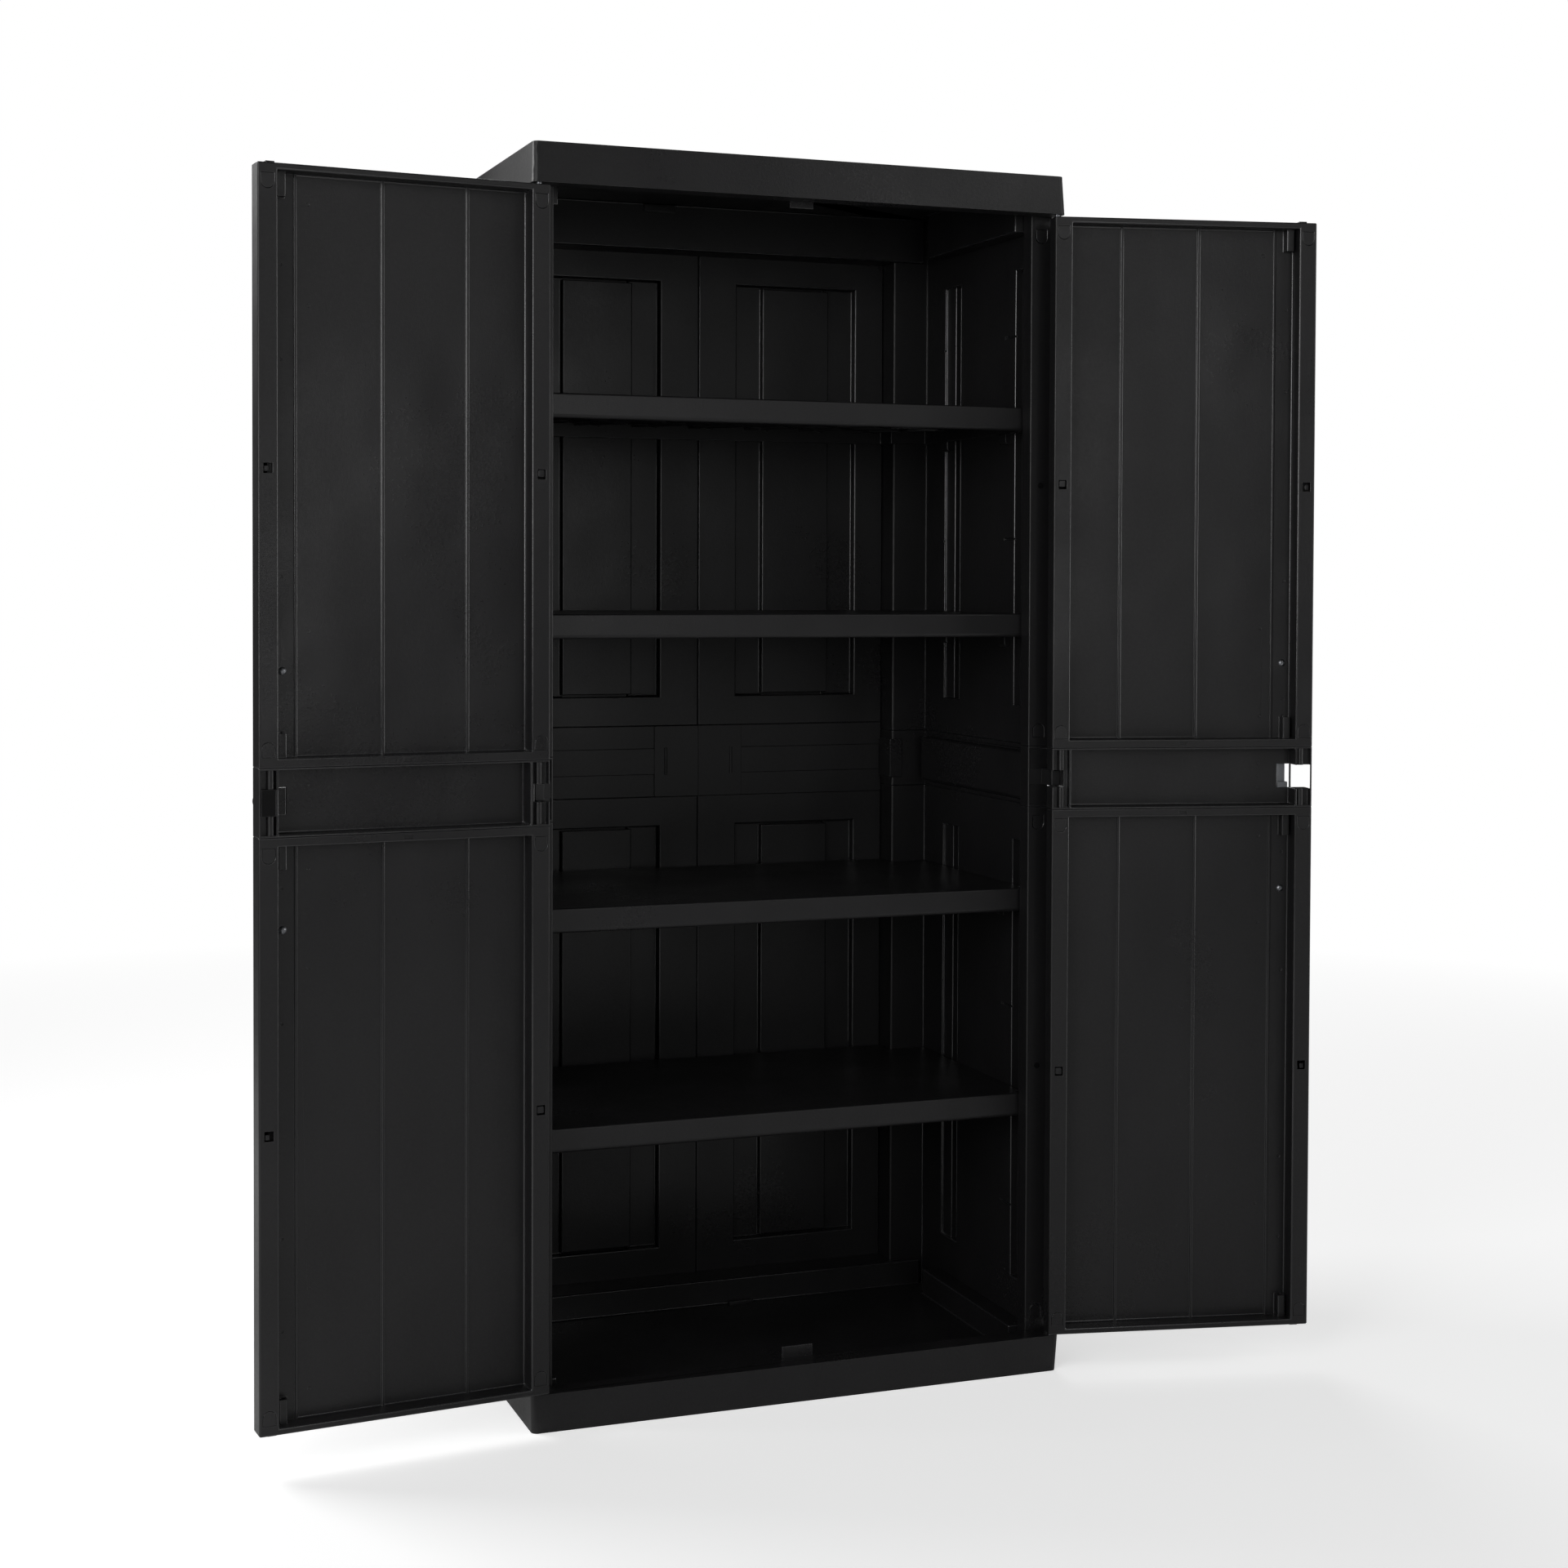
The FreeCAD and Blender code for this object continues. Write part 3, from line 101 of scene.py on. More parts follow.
class NodeTree:
    """A short way to write a procedural material's nodes."""

    def __init__(self, name: str) -> None:
        """Start an empty node material.

        Args:
            name: The material's name.
        """
        self.material = bpy.data.materials.new(name)
        self.material.use_nodes = True
        self.tree = self.material.node_tree
        self.tree.nodes.clear()
        self.output = self.tree.nodes.new("ShaderNodeOutputMaterial")
        self.shader = self.tree.nodes.new("ShaderNodeBsdfPrincipled")
        self.link(self.shader.outputs["BSDF"], self.output.inputs["Surface"])
        self.place = self.tree.nodes.new("ShaderNodeTexCoord").outputs["Object"]

    def link(self, source: bpy.types.NodeSocket, target: bpy.types.NodeSocket) -> None:
        """Join an output to an input."""
        self.tree.links.new(source, target)

    def stretched(self, scale: Sequence[float]) -> bpy.types.NodeSocket:
        """Return the object place scaled along each axis, for streaks and long marks.

        Args:
            scale: The factor along X, Y and Z.

        Returns:
            The vector output of the mapping.
        """
        node = self.tree.nodes.new("ShaderNodeMapping")
        node.inputs["Scale"].default_value = scale
        self.link(self.place, node.inputs["Vector"])
        return node.outputs["Vector"]

    def noise(self, size: float, detail: float = 4.0, vector: bpy.types.NodeSocket | None = None,
              roughness: float = 0.5) -> bpy.types.NodeSocket:
        """Return a noise value whose blotches are about a given size.

        Args:
            size: The size of a blotch, in metres.
            detail: How many finer layers lie on it.
            vector: The place it is read at, or None for the object place.
            roughness: How strong the finer layers are.

        Returns:
            The factor output, from 0 to 1.
        """
        node = self.tree.nodes.new("ShaderNodeTexNoise")
        node.inputs["Scale"].default_value = 1.0 / size
        node.inputs["Detail"].default_value = detail
        node.inputs["Roughness"].default_value = roughness
        self.link(vector or self.place, node.inputs["Vector"])
        return node.outputs["Fac"]

    def cells(self, size: float) -> bpy.types.NodeSocket:
        """Return the distance to the nearest of many scattered points, for a pebbled grain.

        Args:
            size: The distance between points, in metres.

        Returns:
            The distance output.
        """
        node = self.tree.nodes.new("ShaderNodeTexVoronoi")
        node.inputs["Scale"].default_value = 1.0 / size
        self.link(self.place, node.inputs["Vector"])
        return node.outputs["Distance"]

    def spread(self, value: bpy.types.NodeSocket, low: float, high: float, start: float = 0.3,
               end: float = 0.7) -> bpy.types.NodeSocket:
        """Return a value stretched from one range to another and held at its ends.

        Args:
            value: The value to stretch.
            low: The result at the range's start.
            high: The result at the range's end.
            start: Where the input range starts.
            end: Where the input range ends.

        Returns:
            The result output.
        """
        node = self.tree.nodes.new("ShaderNodeMapRange")
        node.inputs["From Min"].default_value = start
        node.inputs["From Max"].default_value = end
        node.inputs["To Min"].default_value = low
        node.inputs["To Max"].default_value = high
        self.link(value, node.inputs["Value"])
        return node.outputs["Result"]

    def added(self, first: bpy.types.NodeSocket, second: bpy.types.NodeSocket, share: float) -> bpy.types.NodeSocket:
        """Return the first value plus a share of the second.

        Args:
            first: The main value.
            second: The value added to it.
            share: How much of the second is added.

        Returns:
            The sum.
        """
        node = self.tree.nodes.new("ShaderNodeMath")
        node.operation = "MULTIPLY_ADD"
        self.link(second, node.inputs[0])
        node.inputs[1].default_value = share
        self.link(first, node.inputs[2])
        return node.outputs[0]

    def blend(self, factor: bpy.types.NodeSocket, first: Sequence[float],
              second: Sequence[float]) -> bpy.types.NodeSocket:
        """Return a colour between two colours.

        Args:
            factor: 0 gives the first colour and 1 the second.
            first: The first colour.
            second: The second colour.

        Returns:
            The colour output.
        """
        node = self.tree.nodes.new("ShaderNodeMix")
        node.data_type = "RGBA"
        node.inputs["A"].default_value = (*first, 1.0)
        node.inputs["B"].default_value = (*second, 1.0)
        self.link(factor, node.inputs["Factor"])
        return node.outputs["Result"]

    def bump(self, height: bpy.types.NodeSocket, depth: float, strength: float = 1.0,
             under: bpy.types.NodeSocket | None = None) -> bpy.types.NodeSocket:
        """Return a normal bent by a height.

        Args:
            height: The height, from 0 to 1.
            depth: The real height of 1, in metres.
            strength: How much of the bend is kept.
            under: A normal that this one is laid over, or None.

        Returns:
            The normal output.
        """
        node = self.tree.nodes.new("ShaderNodeBump")
        node.inputs["Distance"].default_value = depth
        node.inputs["Strength"].default_value = strength
        self.link(height, node.inputs["Height"])
        if under is not None:
            self.link(under, node.inputs["Normal"])
        return node.outputs["Normal"]


@dataclass(frozen=True)
class ResinFinish:
    """Moulded black resin: a fine pebbled grain, faint flow marks, and a sheen that drifts over the warped sheet."""

    name: str
    colour: tuple[float, float, float] = (0.0054, 0.0052, 0.0056)
    faded: tuple[float, float, float] = (0.0135, 0.0131, 0.0140)
    roughness: float = 0.36
    gloss_change: float = 0.12
    grain_size: float = 1.5 * MM
    mottle_size: float = 4.5 * MM
    grain_depth: float = 0.06 * MM
    mottle_depth: float = 0.11 * MM
    warp_size: float = 0.30
    warp_depth: float = 5.0 * MM
    specular: float = 0.5
    cloud_size: float = 0.35
    streak_size: float = 0.05
    streak_stretch: tuple[float, float, float] = (1.0, 1.0, 0.2)
    streak_share: float = 0.35
    mottle_share: float = 0.45
    fine_grain_ratio: float = 0.6
    fine_grain_share: float = 0.5
    grain_share: float = 0.38
    haze_range: tuple[float, float] = (0.85, 1.40)
    sheen_mottle_share: float = 0.25
    sheen_range: tuple[float, float] = (0.4, 0.85)

    def build(self) -> bpy.types.Material:
        """Return the finish as a material."""
        nodes = NodeTree(self.name)
        clouds = nodes.noise(self.cloud_size, 4.0)
        streaks = nodes.noise(self.streak_size, 3.0, nodes.stretched(self.streak_stretch))
        mottle = nodes.noise(self.mottle_size, 2.0)
        grain = nodes.added(nodes.cells(self.grain_size), nodes.noise(self.grain_size * self.fine_grain_ratio, 2.0),
                            self.fine_grain_share)
        haze = nodes.added(nodes.added(clouds, streaks, self.streak_share), mottle, self.mottle_share)
        haze = nodes.added(haze, grain, self.grain_share)
        nodes.link(nodes.blend(nodes.spread(haze, 0.0, 1.0, *self.haze_range), self.colour, self.faded),
                   nodes.shader.inputs["Base Color"])
        sheen = nodes.added(clouds, mottle, self.sheen_mottle_share)
        dull, bright = self.roughness + self.gloss_change, self.roughness - self.gloss_change
        nodes.link(nodes.spread(sheen, dull, bright, *self.sheen_range), nodes.shader.inputs["Roughness"])
        nodes.shader.inputs["Specular IOR Level"].default_value = self.specular
        warp = nodes.bump(nodes.noise(self.warp_size, 2.0), self.warp_depth)
        dimples = nodes.bump(mottle, self.mottle_depth, 1.0, warp)
        nodes.link(nodes.bump(grain, self.grain_depth, 1.0, dimples), nodes.shader.inputs["Normal"])
        return nodes.material


@dataclass(frozen=True)
class SteelFinish:
    """Zinc-plated steel with fine turning marks."""

    name: str
    colour: tuple[float, float, float] = (0.36, 0.37, 0.39)
    worn_share: float = 0.7
    roughness: float = 0.34
    sharper: float = 0.08
    duller: float = 0.1
    mark_size: float = 1.5 * MM
    mark_stretch: tuple[float, float, float] = (1.0, 1.0, 6.0)
    mark_depth: float = 0.04 * MM

    def build(self) -> bpy.types.Material:
        """Return the finish as a material."""
        nodes = NodeTree(self.name)
        marks = nodes.noise(self.mark_size, 3.0, nodes.stretched(self.mark_stretch))
        worn = tuple(self.worn_share * c for c in self.colour)
        nodes.link(nodes.blend(nodes.spread(marks, 0.0, 1.0), self.colour, worn), nodes.shader.inputs["Base Color"])
        nodes.link(nodes.spread(marks, self.roughness - self.sharper, self.roughness + self.duller),
                   nodes.shader.inputs["Roughness"])
        nodes.shader.inputs["Metallic"].default_value = 1.0
        nodes.link(nodes.bump(marks, self.mark_depth), nodes.shader.inputs["Normal"])
        return nodes.material


class Finishes:
    """Every finish of the cabinet, built once."""

    def __init__(self) -> None:
        """Build the materials by slot, the glossy one of the rounded edges with its painted highlight, and the dark
        one of a few fittings.
        """
        self.by_slot = {
            Slot.WALL: ResinFinish("wall_resin").build(),
            Slot.CAP: ResinFinish("cap_resin", warp_depth=2.0 * MM).build(),
            Slot.DOOR: ResinFinish("door_resin", warp_size=0.24, warp_depth=6.0 * MM).build(),
            Slot.SHELF: ResinFinish("shelf_resin", warp_depth=2.0 * MM).build(),
            Slot.TRIM: ResinFinish("trim_resin", colour=(0.009, 0.009, 0.0095), roughness=0.33,
                                   grain_depth=0.02 * MM, mottle_depth=0.03 * MM, warp_depth=0.5 * MM).build(),
            Slot.STEEL: SteelFinish("steel").build(),
        }
        # The rounded edges' lighter colour is a painted highlight along every edge; their low roughness and high
        # specular are real gloss.
        self.edge = ResinFinish("edge_highlight_resin", colour=(0.010, 0.010, 0.0105), faded=(0.018, 0.018, 0.0195),
                                roughness=0.20, gloss_change=0.04, grain_depth=0.01 * MM,
                                mottle_depth=0.02 * MM, warp_depth=0.5 * MM, specular=0.9).build()
        self.dark = ResinFinish("dark_resin", colour=(0.0035, 0.0035, 0.0037), faded=(0.006, 0.006, 0.0063),
                                roughness=0.50, gloss_change=0.04, warp_depth=0.5 * MM, specular=0.12).build()


# Pieces copied from the construction, with their moulded edges rounded


@dataclass(frozen=True)
class EdgeRound:
    """How the sharp edges of a moulding are rounded: wide between broad faces, narrow beside a narrow one."""

    width: float
    segments: int = 2
    angle: float = math.radians(30.0)
    face_share: float = 0.42
    short_edge: float = 25.0 * MM
    short_width: float = 0.35 * MM
    run_on: float = math.radians(37.0)
    most_meeting: int = 8
    most_steps: int = 200
    skin: float = 0.05 * MM
    places: tuple[float, ...] = (0.12, 0.5, 0.88)

    def weights(self, mesh: bpy.types.Mesh) -> np.ndarray:
        """Return each edge's share of the full width.

        Edges that run on into each other make one line. A line's width is a share of the narrowest face beside it,
        which is that face's area over the edge's length. A short line stays narrow, and an edge that hardly bends
        gets none. The bend is read from the sum of the two face normals, whose squared length is two plus twice the
        cosine between them.

        Args:
            mesh: The merged mesh.

        Returns:
            One value from 0 to 1 for each edge.
        """
        points = np.zeros(len(mesh.vertices) * 3)
        ends = np.zeros(len(mesh.edges) * 2, np.int64)
        corner_edges = np.zeros(len(mesh.loops), np.int64)
        counts = np.zeros(len(mesh.polygons), np.int64)
        areas = np.zeros(len(mesh.polygons))
        normals = np.zeros(len(mesh.polygons) * 3)
        mesh.vertices.foreach_get("co", points)
        mesh.edges.foreach_get("vertices", ends)
        mesh.loops.foreach_get("edge_index", corner_edges)
        mesh.polygons.foreach_get("loop_total", counts)
        mesh.polygons.foreach_get("area", areas)
        mesh.polygons.foreach_get("normal", normals)
        ends = ends.reshape(-1, 2)
        points = points.reshape(-1, 3)
        runs = points[ends[:, 1]] - points[ends[:, 0]]
        lengths = np.maximum(np.linalg.norm(runs, axis=1), 1e-9)
        faces = np.repeat(np.arange(len(counts)), counts)
        sums = np.zeros((len(lengths), 3))
        np.add.at(sums, corner_edges, normals.reshape(-1, 3)[faces])
        bent = (np.sum(sums * sums, axis=1) - 2.0) / 2.0 < math.cos(self.angle)
        lines = self.lines(ends, runs / lengths[:, None], bent)
        widths = np.full(len(lengths), self.width)
        np.minimum.at(widths, lines[corner_edges], self.face_share * areas[faces] / lengths[corner_edges])
        np.minimum.at(widths, lines, self.face_share * self.room(mesh, bent))
        totals = np.zeros(len(lengths))
        np.add.at(totals, lines, lengths)
        short = totals < self.short_edge
        widths[short] = np.minimum(widths[short], self.short_width)
        return np.where(bent, widths[lines] / self.width, 0.0)

    def room(self, mesh: bpy.types.Mesh, bent: np.ndarray) -> np.ndarray:
        """Return the free width beside each edge, on the narrower of its two faces.

        Rays run across each face from a few places on the edge, one just under the face and one just over it. The
        first stops at the far side of a thin wall, the second at the foot of the next step.

        Args:
            mesh: The merged mesh.
            bent: Whether each edge bends.

        Returns:
            One length for each edge, without a limit where nothing stops the rays.
        """
        tree = BVHTree.FromPolygons([v.co for v in mesh.vertices], [list(p.vertices) for p in mesh.polygons])
        reach = self.width / self.face_share
        free = np.full(len(mesh.edges), np.inf)
        for polygon in mesh.polygons:
            corners = [mesh.loops[index] for index in polygon.loop_indices]
            for corner, after in zip(corners, corners[1:] + corners[:1]):
                if not bent[corner.edge_index]:
                    continue
                start, end = mesh.vertices[corner.vertex_index].co, mesh.vertices[after.vertex_index].co
                across = polygon.normal.cross(end - start).normalized()
                for place, side in product(self.places, (-1.0, 1.0)):
                    origin = start.lerp(end, place) + self.skin * (across + side * polygon.normal)
                    distance = tree.ray_cast(origin, across, reach)[3]
                    if distance is not None:
                        free[corner.edge_index] = min(free[corner.edge_index], distance + self.skin)
        return free

    def lines(self, ends: np.ndarray, ways: np.ndarray, bent: np.ndarray) -> np.ndarray:
        """Return for each edge the number of the line it belongs to.

        Bent edges that meet and go on in nearly the same direction share a line. The shared number is spread as the
        lowest one of each meeting pair, until nothing changes.

        Args:
            ends: The two vertices of each edge.
            ways: The direction of each edge, of length one.
            bent: Whether each edge bends.

        Returns:
            The lowest edge number in each edge's line.
        """
        chosen = np.flatnonzero(bent)
        edges = np.concatenate([chosen, chosen])
        corners = np.concatenate([ends[chosen, 0], ends[chosen, 1]])
        outward = np.concatenate([ways[chosen], -ways[chosen]])
        order = np.argsort(corners, kind="stable")
        edges, corners, outward = edges[order], corners[order], outward[order]
        pairs = []
        for step in range(1, self.most_meeting):
            meet = corners[step:] == corners[:-step]
            straight = np.sum(outward[step:] * outward[:-step], axis=1) < -math.cos(self.run_on)
            found = np.flatnonzero(meet & straight)
            pairs.append(np.stack([edges[found], edges[found + step]], axis=1))
        joined = np.concatenate(pairs)
        numbers = np.arange(len(ends))
        for _ in range(self.most_steps):
            lowest = np.minimum(numbers[joined[:, 0]], numbers[joined[:, 1]])
            before = numbers.copy()
            np.minimum.at(numbers, joined[:, 0], lowest)
            np.minimum.at(numbers, joined[:, 1], lowest)
            numbers = numbers[numbers]
            if np.array_equal(before, numbers):
                break
        return numbers


class Moulding:
    """One construction piece, with rounded edges and its finish."""

    dark_nodes = ("latch_cover", "stile_screws")

    def __init__(self, node: str, body: Body, slot: Slot, edge: EdgeRound) -> None:
        """Keep what the piece is made from.

        Args:
            node: The construction piece's name.
            body: The body it moves with.
            slot: The material slot it belongs to.
            edge: How its edges are rounded.
        """
        self.node = node
        self.body = body
        self.slot = slot
        self.edge = edge

    def merged_mesh(self) -> bpy.types.Mesh:
        """Return a copy of the piece's mesh with doubles merged and flat faces joined."""
        source = frame["nodes"][self.node].data
        work = bmesh.new()
        work.from_mesh(source)
        bmesh.ops.remove_doubles(work, verts=work.verts, dist=CAD_MERGE)
        bmesh.ops.dissolve_limit(work, angle_limit=CAD_FLAT, verts=work.verts, edges=work.edges)
        mesh = bpy.data.meshes.new(self.node + "_shape")
        work.to_mesh(mesh)
        work.free()
        return mesh

    def build(self, finishes: Finishes) -> bpy.types.Object:
        """Return the rounded piece, riding on its body in place of the construction piece.

        Args:
            finishes: The cabinet's finishes.

        Returns:
            The new object.
        """
        piece = bpy.data.objects.new(self.node + "_moulded", self.merged_mesh())
        bpy.context.scene.collection.objects.link(piece)
        main = finishes.dark if self.node in self.dark_nodes else finishes.by_slot[self.slot]
        piece.data.materials.append(main)
        # The bevel faces take the edge finish, whose lighter colour is a painted highlight.
        piece.data.materials.append(main if self.slot is Slot.STEEL else finishes.edge)
        piece.data.polygons.foreach_set("material_index", np.zeros(len(piece.data.polygons), np.int32))
        piece.data.shade_smooth()
        weights = piece.data.attributes.new("bevel_weight_edge", "FLOAT", "EDGE")
        weights.data.foreach_set("value", self.edge.weights(piece.data).astype(np.float32))
        bevel = piece.modifiers.new("rounded_edges", "BEVEL")
        bevel.width = self.edge.width
        bevel.segments = self.edge.segments
        bevel.limit_method = "WEIGHT"
        bevel.use_clamp_overlap = False
        bevel.material = 1
        weighted = piece.modifiers.new("flat_faces", "WEIGHTED_NORMAL")
        weighted.mode = "FACE_AREA_WITH_ANGLE"
        weighted.weight = 100
        weighted.keep_sharp = False
        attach(piece, self.body.value)
        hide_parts(self.node)
        return piece


# Small moulded relief that the construction leaves out


@dataclass(frozen=True)
class DoorPlace:
    """The directions of one open door, measured from its hinge edge, its inner face and the ground."""

    body: Body
    sign: float
    open_degrees: float
    hinge_edge: float = 408.4 * MM
    inner_face: float = -234.0 * MM
    axis_across: float = 399.3 * MM
    axis_front: float = -258.4 * MM

    def world(self, points: np.ndarray) -> np.ndarray:
        """Return points of the cabinet's frame for points of the door.

        The shut door's point is turned about the hinge axis by the open angle: across and front are mixed by the
        angle's cosine and sine, and the level stays.

        Args:
            points: Rows of distance from the hinge edge, depth below the inner face, and level.

        Returns:
            Rows of X, Y and Z.
        """
        across = self.sign * (self.hinge_edge - points[:, 0]) - self.sign * self.axis_across
        front = self.inner_face - points[:, 1] - self.axis_front
        cosine, sine = math.cos(math.radians(self.open_degrees)), math.sin(math.radians(self.open_degrees))
        return np.stack([self.sign * self.axis_across + across * cosine - front * sine,
                         self.axis_front + across * sine + front * cosine, points[:, 2]], axis=1)


LEFT_DOOR_PLACE = DoorPlace(Body.LEFT_DOOR, -1.0, -174.5)
RIGHT_DOOR_PLACE = DoorPlace(Body.RIGHT_DOOR, 1.0, 168.0)


@dataclass(frozen=True)
class SoftBlock:
    """A block with a rounded outline and rounded rims, such as a moulded snap or lug.

    Its outline is a superellipse: each half size times the cosine or sine raised to two over the power, with its
    sign kept. Rings of that outline are stacked through the depth, drawn in by a quarter circle at both rims and
    closed to a point at both ends.
    """

    centre: tuple[float, float, float]
    size: tuple[float, float, float]
    rim: float = 0.5 * MM
    power: float = 7.0
    around: int = 48
    rim_steps: int = 4

    def surface(self) -> tuple[np.ndarray, np.ndarray]:
        """Return the block's points and its four-sided faces, with its depth along the second axis."""
        angle = np.linspace(0.0, 2.0 * math.pi, self.around, endpoint=False)
        turn = np.linspace(0.0, math.pi / 2.0, self.rim_steps + 1)
        draw = np.concatenate([[1.0], self.rim * (1.0 - np.sin(turn)), self.rim * (1.0 - np.cos(turn)), [1.0]])
        rise = np.concatenate([[0.0], self.rim * (1.0 - np.cos(turn)),
                               self.size[1] - self.rim * (1.0 - np.sin(turn)), [self.size[1]]])
        wide = np.maximum(self.size[0] / 2.0 - draw, 0.0)[:, None]
        tall = np.maximum(self.size[2] / 2.0 - draw, 0.0)[:, None]
        bend = 2.0 / self.power
        outline_x = np.sign(np.cos(angle)) * np.abs(np.cos(angle)) ** bend
        outline_z = np.sign(np.sin(angle)) * np.abs(np.sin(angle)) ** bend
        points = np.stack([self.centre[0] + wide * outline_x, self.centre[1] - self.size[1] / 2.0
                           + np.repeat(rise[:, None], self.around, 1), self.centre[2] + tall * outline_z], axis=2)
        rings = len(rise)
        low = np.arange((rings - 1) * self.around).reshape(rings - 1, self.around)
        faces = np.stack([low, np.roll(low, -1, 1), np.roll(low, -1, 1) + self.around, low + self.around], axis=2)
        return points.reshape(-1, 3), faces.reshape(-1, 4)


class Relief:
    """Small moulded details of one kind, as one piece."""

    def __init__(self, name: str, body: Body, slot: Slot, blocks: Sequence[SoftBlock],
                 place: DoorPlace | None = None) -> None:
        """Keep what the piece is made from.

        Args:
            name: The piece's name.
            body: The body it moves with.
            slot: The material slot it belongs to; not used.
            blocks: The blocks in it.
            place: The door they are measured on, or None for the cabinet's own frame.
        """
        self.name = name
        self.body = body
        self.slot = slot
        self.blocks = blocks
        self.place = place

    def build(self, finish: bpy.types.Material) -> bpy.types.Object:
        """Return the piece, riding on its body.

        Args:
            finish: The material it gets.

        Returns:
            The new object.
        """
        points, faces, count = [], [], 0
        for block in self.blocks:
            block_points, block_faces = block.surface()
            points.append(block_points)
            faces.append(block_faces + count)
            count += len(block_points)
        every = np.concatenate(points)
        if self.place is not None:
            every = self.place.world(every)
        mesh = bpy.data.meshes.new(self.name)
        mesh.from_pydata(every.tolist(), [], np.concatenate(faces).tolist())
        work = bmesh.new()
        work.from_mesh(mesh)
        bmesh.ops.remove_doubles(work, verts=work.verts, dist=RELIEF_MERGE)
        bmesh.ops.recalc_face_normals(work, faces=work.faces)
        work.to_mesh(mesh)
        work.free()
        mesh.shade_smooth()
        mesh.materials.append(finish)
        piece = bpy.data.objects.new(self.name, mesh)
        bpy.context.scene.collection.objects.link(piece)
        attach(piece, self.body.value)
        LOG.info("%s: %d faces", piece.name, len(mesh.polygons))
        return piece


@dataclass(frozen=True)
class DoorRelief:
    """The snaps behind a door's four stile windows, and the ring marks on its band."""

    place: DoorPlace
    name: str
    door_width: float = 406.9 * MM
    stile_middle: float = 13.5 * MM
    middle: float = 899.2 * MM
    window_level: float = 440.5 * MM
    snap_size: tuple[float, float, float] = (9.6 * MM, 27.0 * MM, 9.6 * MM)
    hook_size: tuple[float, float, float] = (6.2 * MM, 26.0 * MM, 7.4 * MM)
    snap_face: float = 1.6 * MM
    hook_face: float = 2.8 * MM
    snap_lift: float = 0.7 * MM
    hook_shift: tuple[float, float] = (1.6 * MM, 1.2 * MM)
    mark_from_edge: float = 331.3 * MM
    mark_levels: tuple[float, ...] = (18.5 * MM, -0.5 * MM, -19.0 * MM)
    mark_size: tuple[float, float, float] = (5.4 * MM, 1.2 * MM, 5.4 * MM)
    mark_rim: float = 0.35 * MM
    mark_power: float = 2.0
    field_depth: float = 29.0 * MM

    def snaps(self) -> list[SoftBlock]:
        """Return a snug snap in each hinge stile window and a smaller hook in each free stile window."""
        blocks = []
        for way in (-1.0, 1.0):
            level = self.middle + way * self.window_level
            blocks.append(SoftBlock((self.stile_middle, self.snap_face + self.snap_size[1] / 2.0,
                                     level + self.snap_lift), self.snap_size))
            blocks.append(SoftBlock((self.door_width - self.stile_middle + self.hook_shift[0],
                                     self.hook_face + self.hook_size[1] / 2.0, level - self.hook_shift[1]),
                                    self.hook_size))
        return blocks

    def marks(self) -> list[SoftBlock]:
        """Return the round marks on the band's field."""
        return [SoftBlock((self.mark_from_edge, self.field_depth, self.middle + level), self.mark_size,
                          self.mark_rim, self.mark_power) for level in self.mark_levels]

    def build(self, finishes: Finishes) -> None:
        """Make the snaps and the marks.

        Args:
            finishes: The cabinet's finishes.
        """
        Relief(self.name + "_stile_snaps", self.place.body, Slot.TRIM, self.snaps(), self.place).build(
            finishes.by_slot[Slot.TRIM])
        Relief(self.name + "_band_marks", self.place.body, Slot.DOOR, self.marks(), self.place).build(
            finishes.by_slot[Slot.DOOR])


@dataclass(frozen=True)
class BenchRelief:
    """The two shallow lugs at the rear benches of the roof and of the base."""

    roof_lug: SoftBlock = SoftBlock((-86.5 * MM, 178.4 * MM, 1787.0 * MM), (53.0 * MM, 5.0 * MM, 12.0 * MM),
                                    0.8 * MM, 12.0)
    floor_lug: SoftBlock = SoftBlock((55.0 * MM, 174.5 * MM, 17.0 * MM), (40.0 * MM, 10.0 * MM, 7.0 * MM),
                                     0.8 * MM, 12.0)

    def build(self, finishes: Finishes) -> None:
        """Make both lugs.

        Args:
            finishes: The cabinet's finishes.
        """
        for name, lug in (("roof_bench_lug", self.roof_lug), ("floor_bench_lug", self.floor_lug)):
            Relief(name, Body.CABINET, Slot.CAP, [lug]).build(finishes.by_slot[Slot.CAP])


# Camera, light and floor


@dataclass(frozen=True)
class PhotographCamera:
    """The camera that took the photograph, in the cabinet's own directions."""

    place: tuple[float, float, float] = (-1260.1 * MM, -3529.0 * MM, 1192.1 * MM)
    turn_right: float = math.radians(20.531)
    look_down: float = math.radians(1.4538)
    lean: float = math.radians(0.2125)
    focal_pixels: float = 2968.0
    image_pixels: float = 1920.0
    axis_row: float = 788.1
    sensor: float = 36.0

    def build(self) -> bpy.types.Object:
        """Return the camera object, set as the scene's camera."""
        forward = np.array([math.sin(self.turn_right) * math.cos(self.look_down),
                            math.cos(self.turn_right) * math.cos(self.look_down),
                            -math.sin(self.look_down)])
        level = np.array([math.cos(self.turn_right), -math.sin(self.turn_right), 0.0])
        upright = np.cross(level, forward)
        right = level * math.cos(self.lean) + upright * math.sin(self.lean)
        up = upright * math.cos(self.lean) - level * math.sin(self.lean)
        data = bpy.data.cameras.new("photograph_camera")
        data.sensor_width = self.sensor
        data.lens = self.focal_pixels / self.image_pixels * self.sensor
        data.shift_y = (self.axis_row - self.image_pixels / 2) / self.image_pixels
        data.clip_end = 60.0
        data.dof.use_dof = False
        camera = bpy.data.objects.new("photograph_camera", data)
        bpy.context.scene.collection.objects.link(camera)
        turned = Matrix((right, up, -forward)).transposed()
        camera.matrix_world = Matrix.Translation(self.place) @ turned.to_4x4()
        bpy.context.scene.camera = camera
        return camera


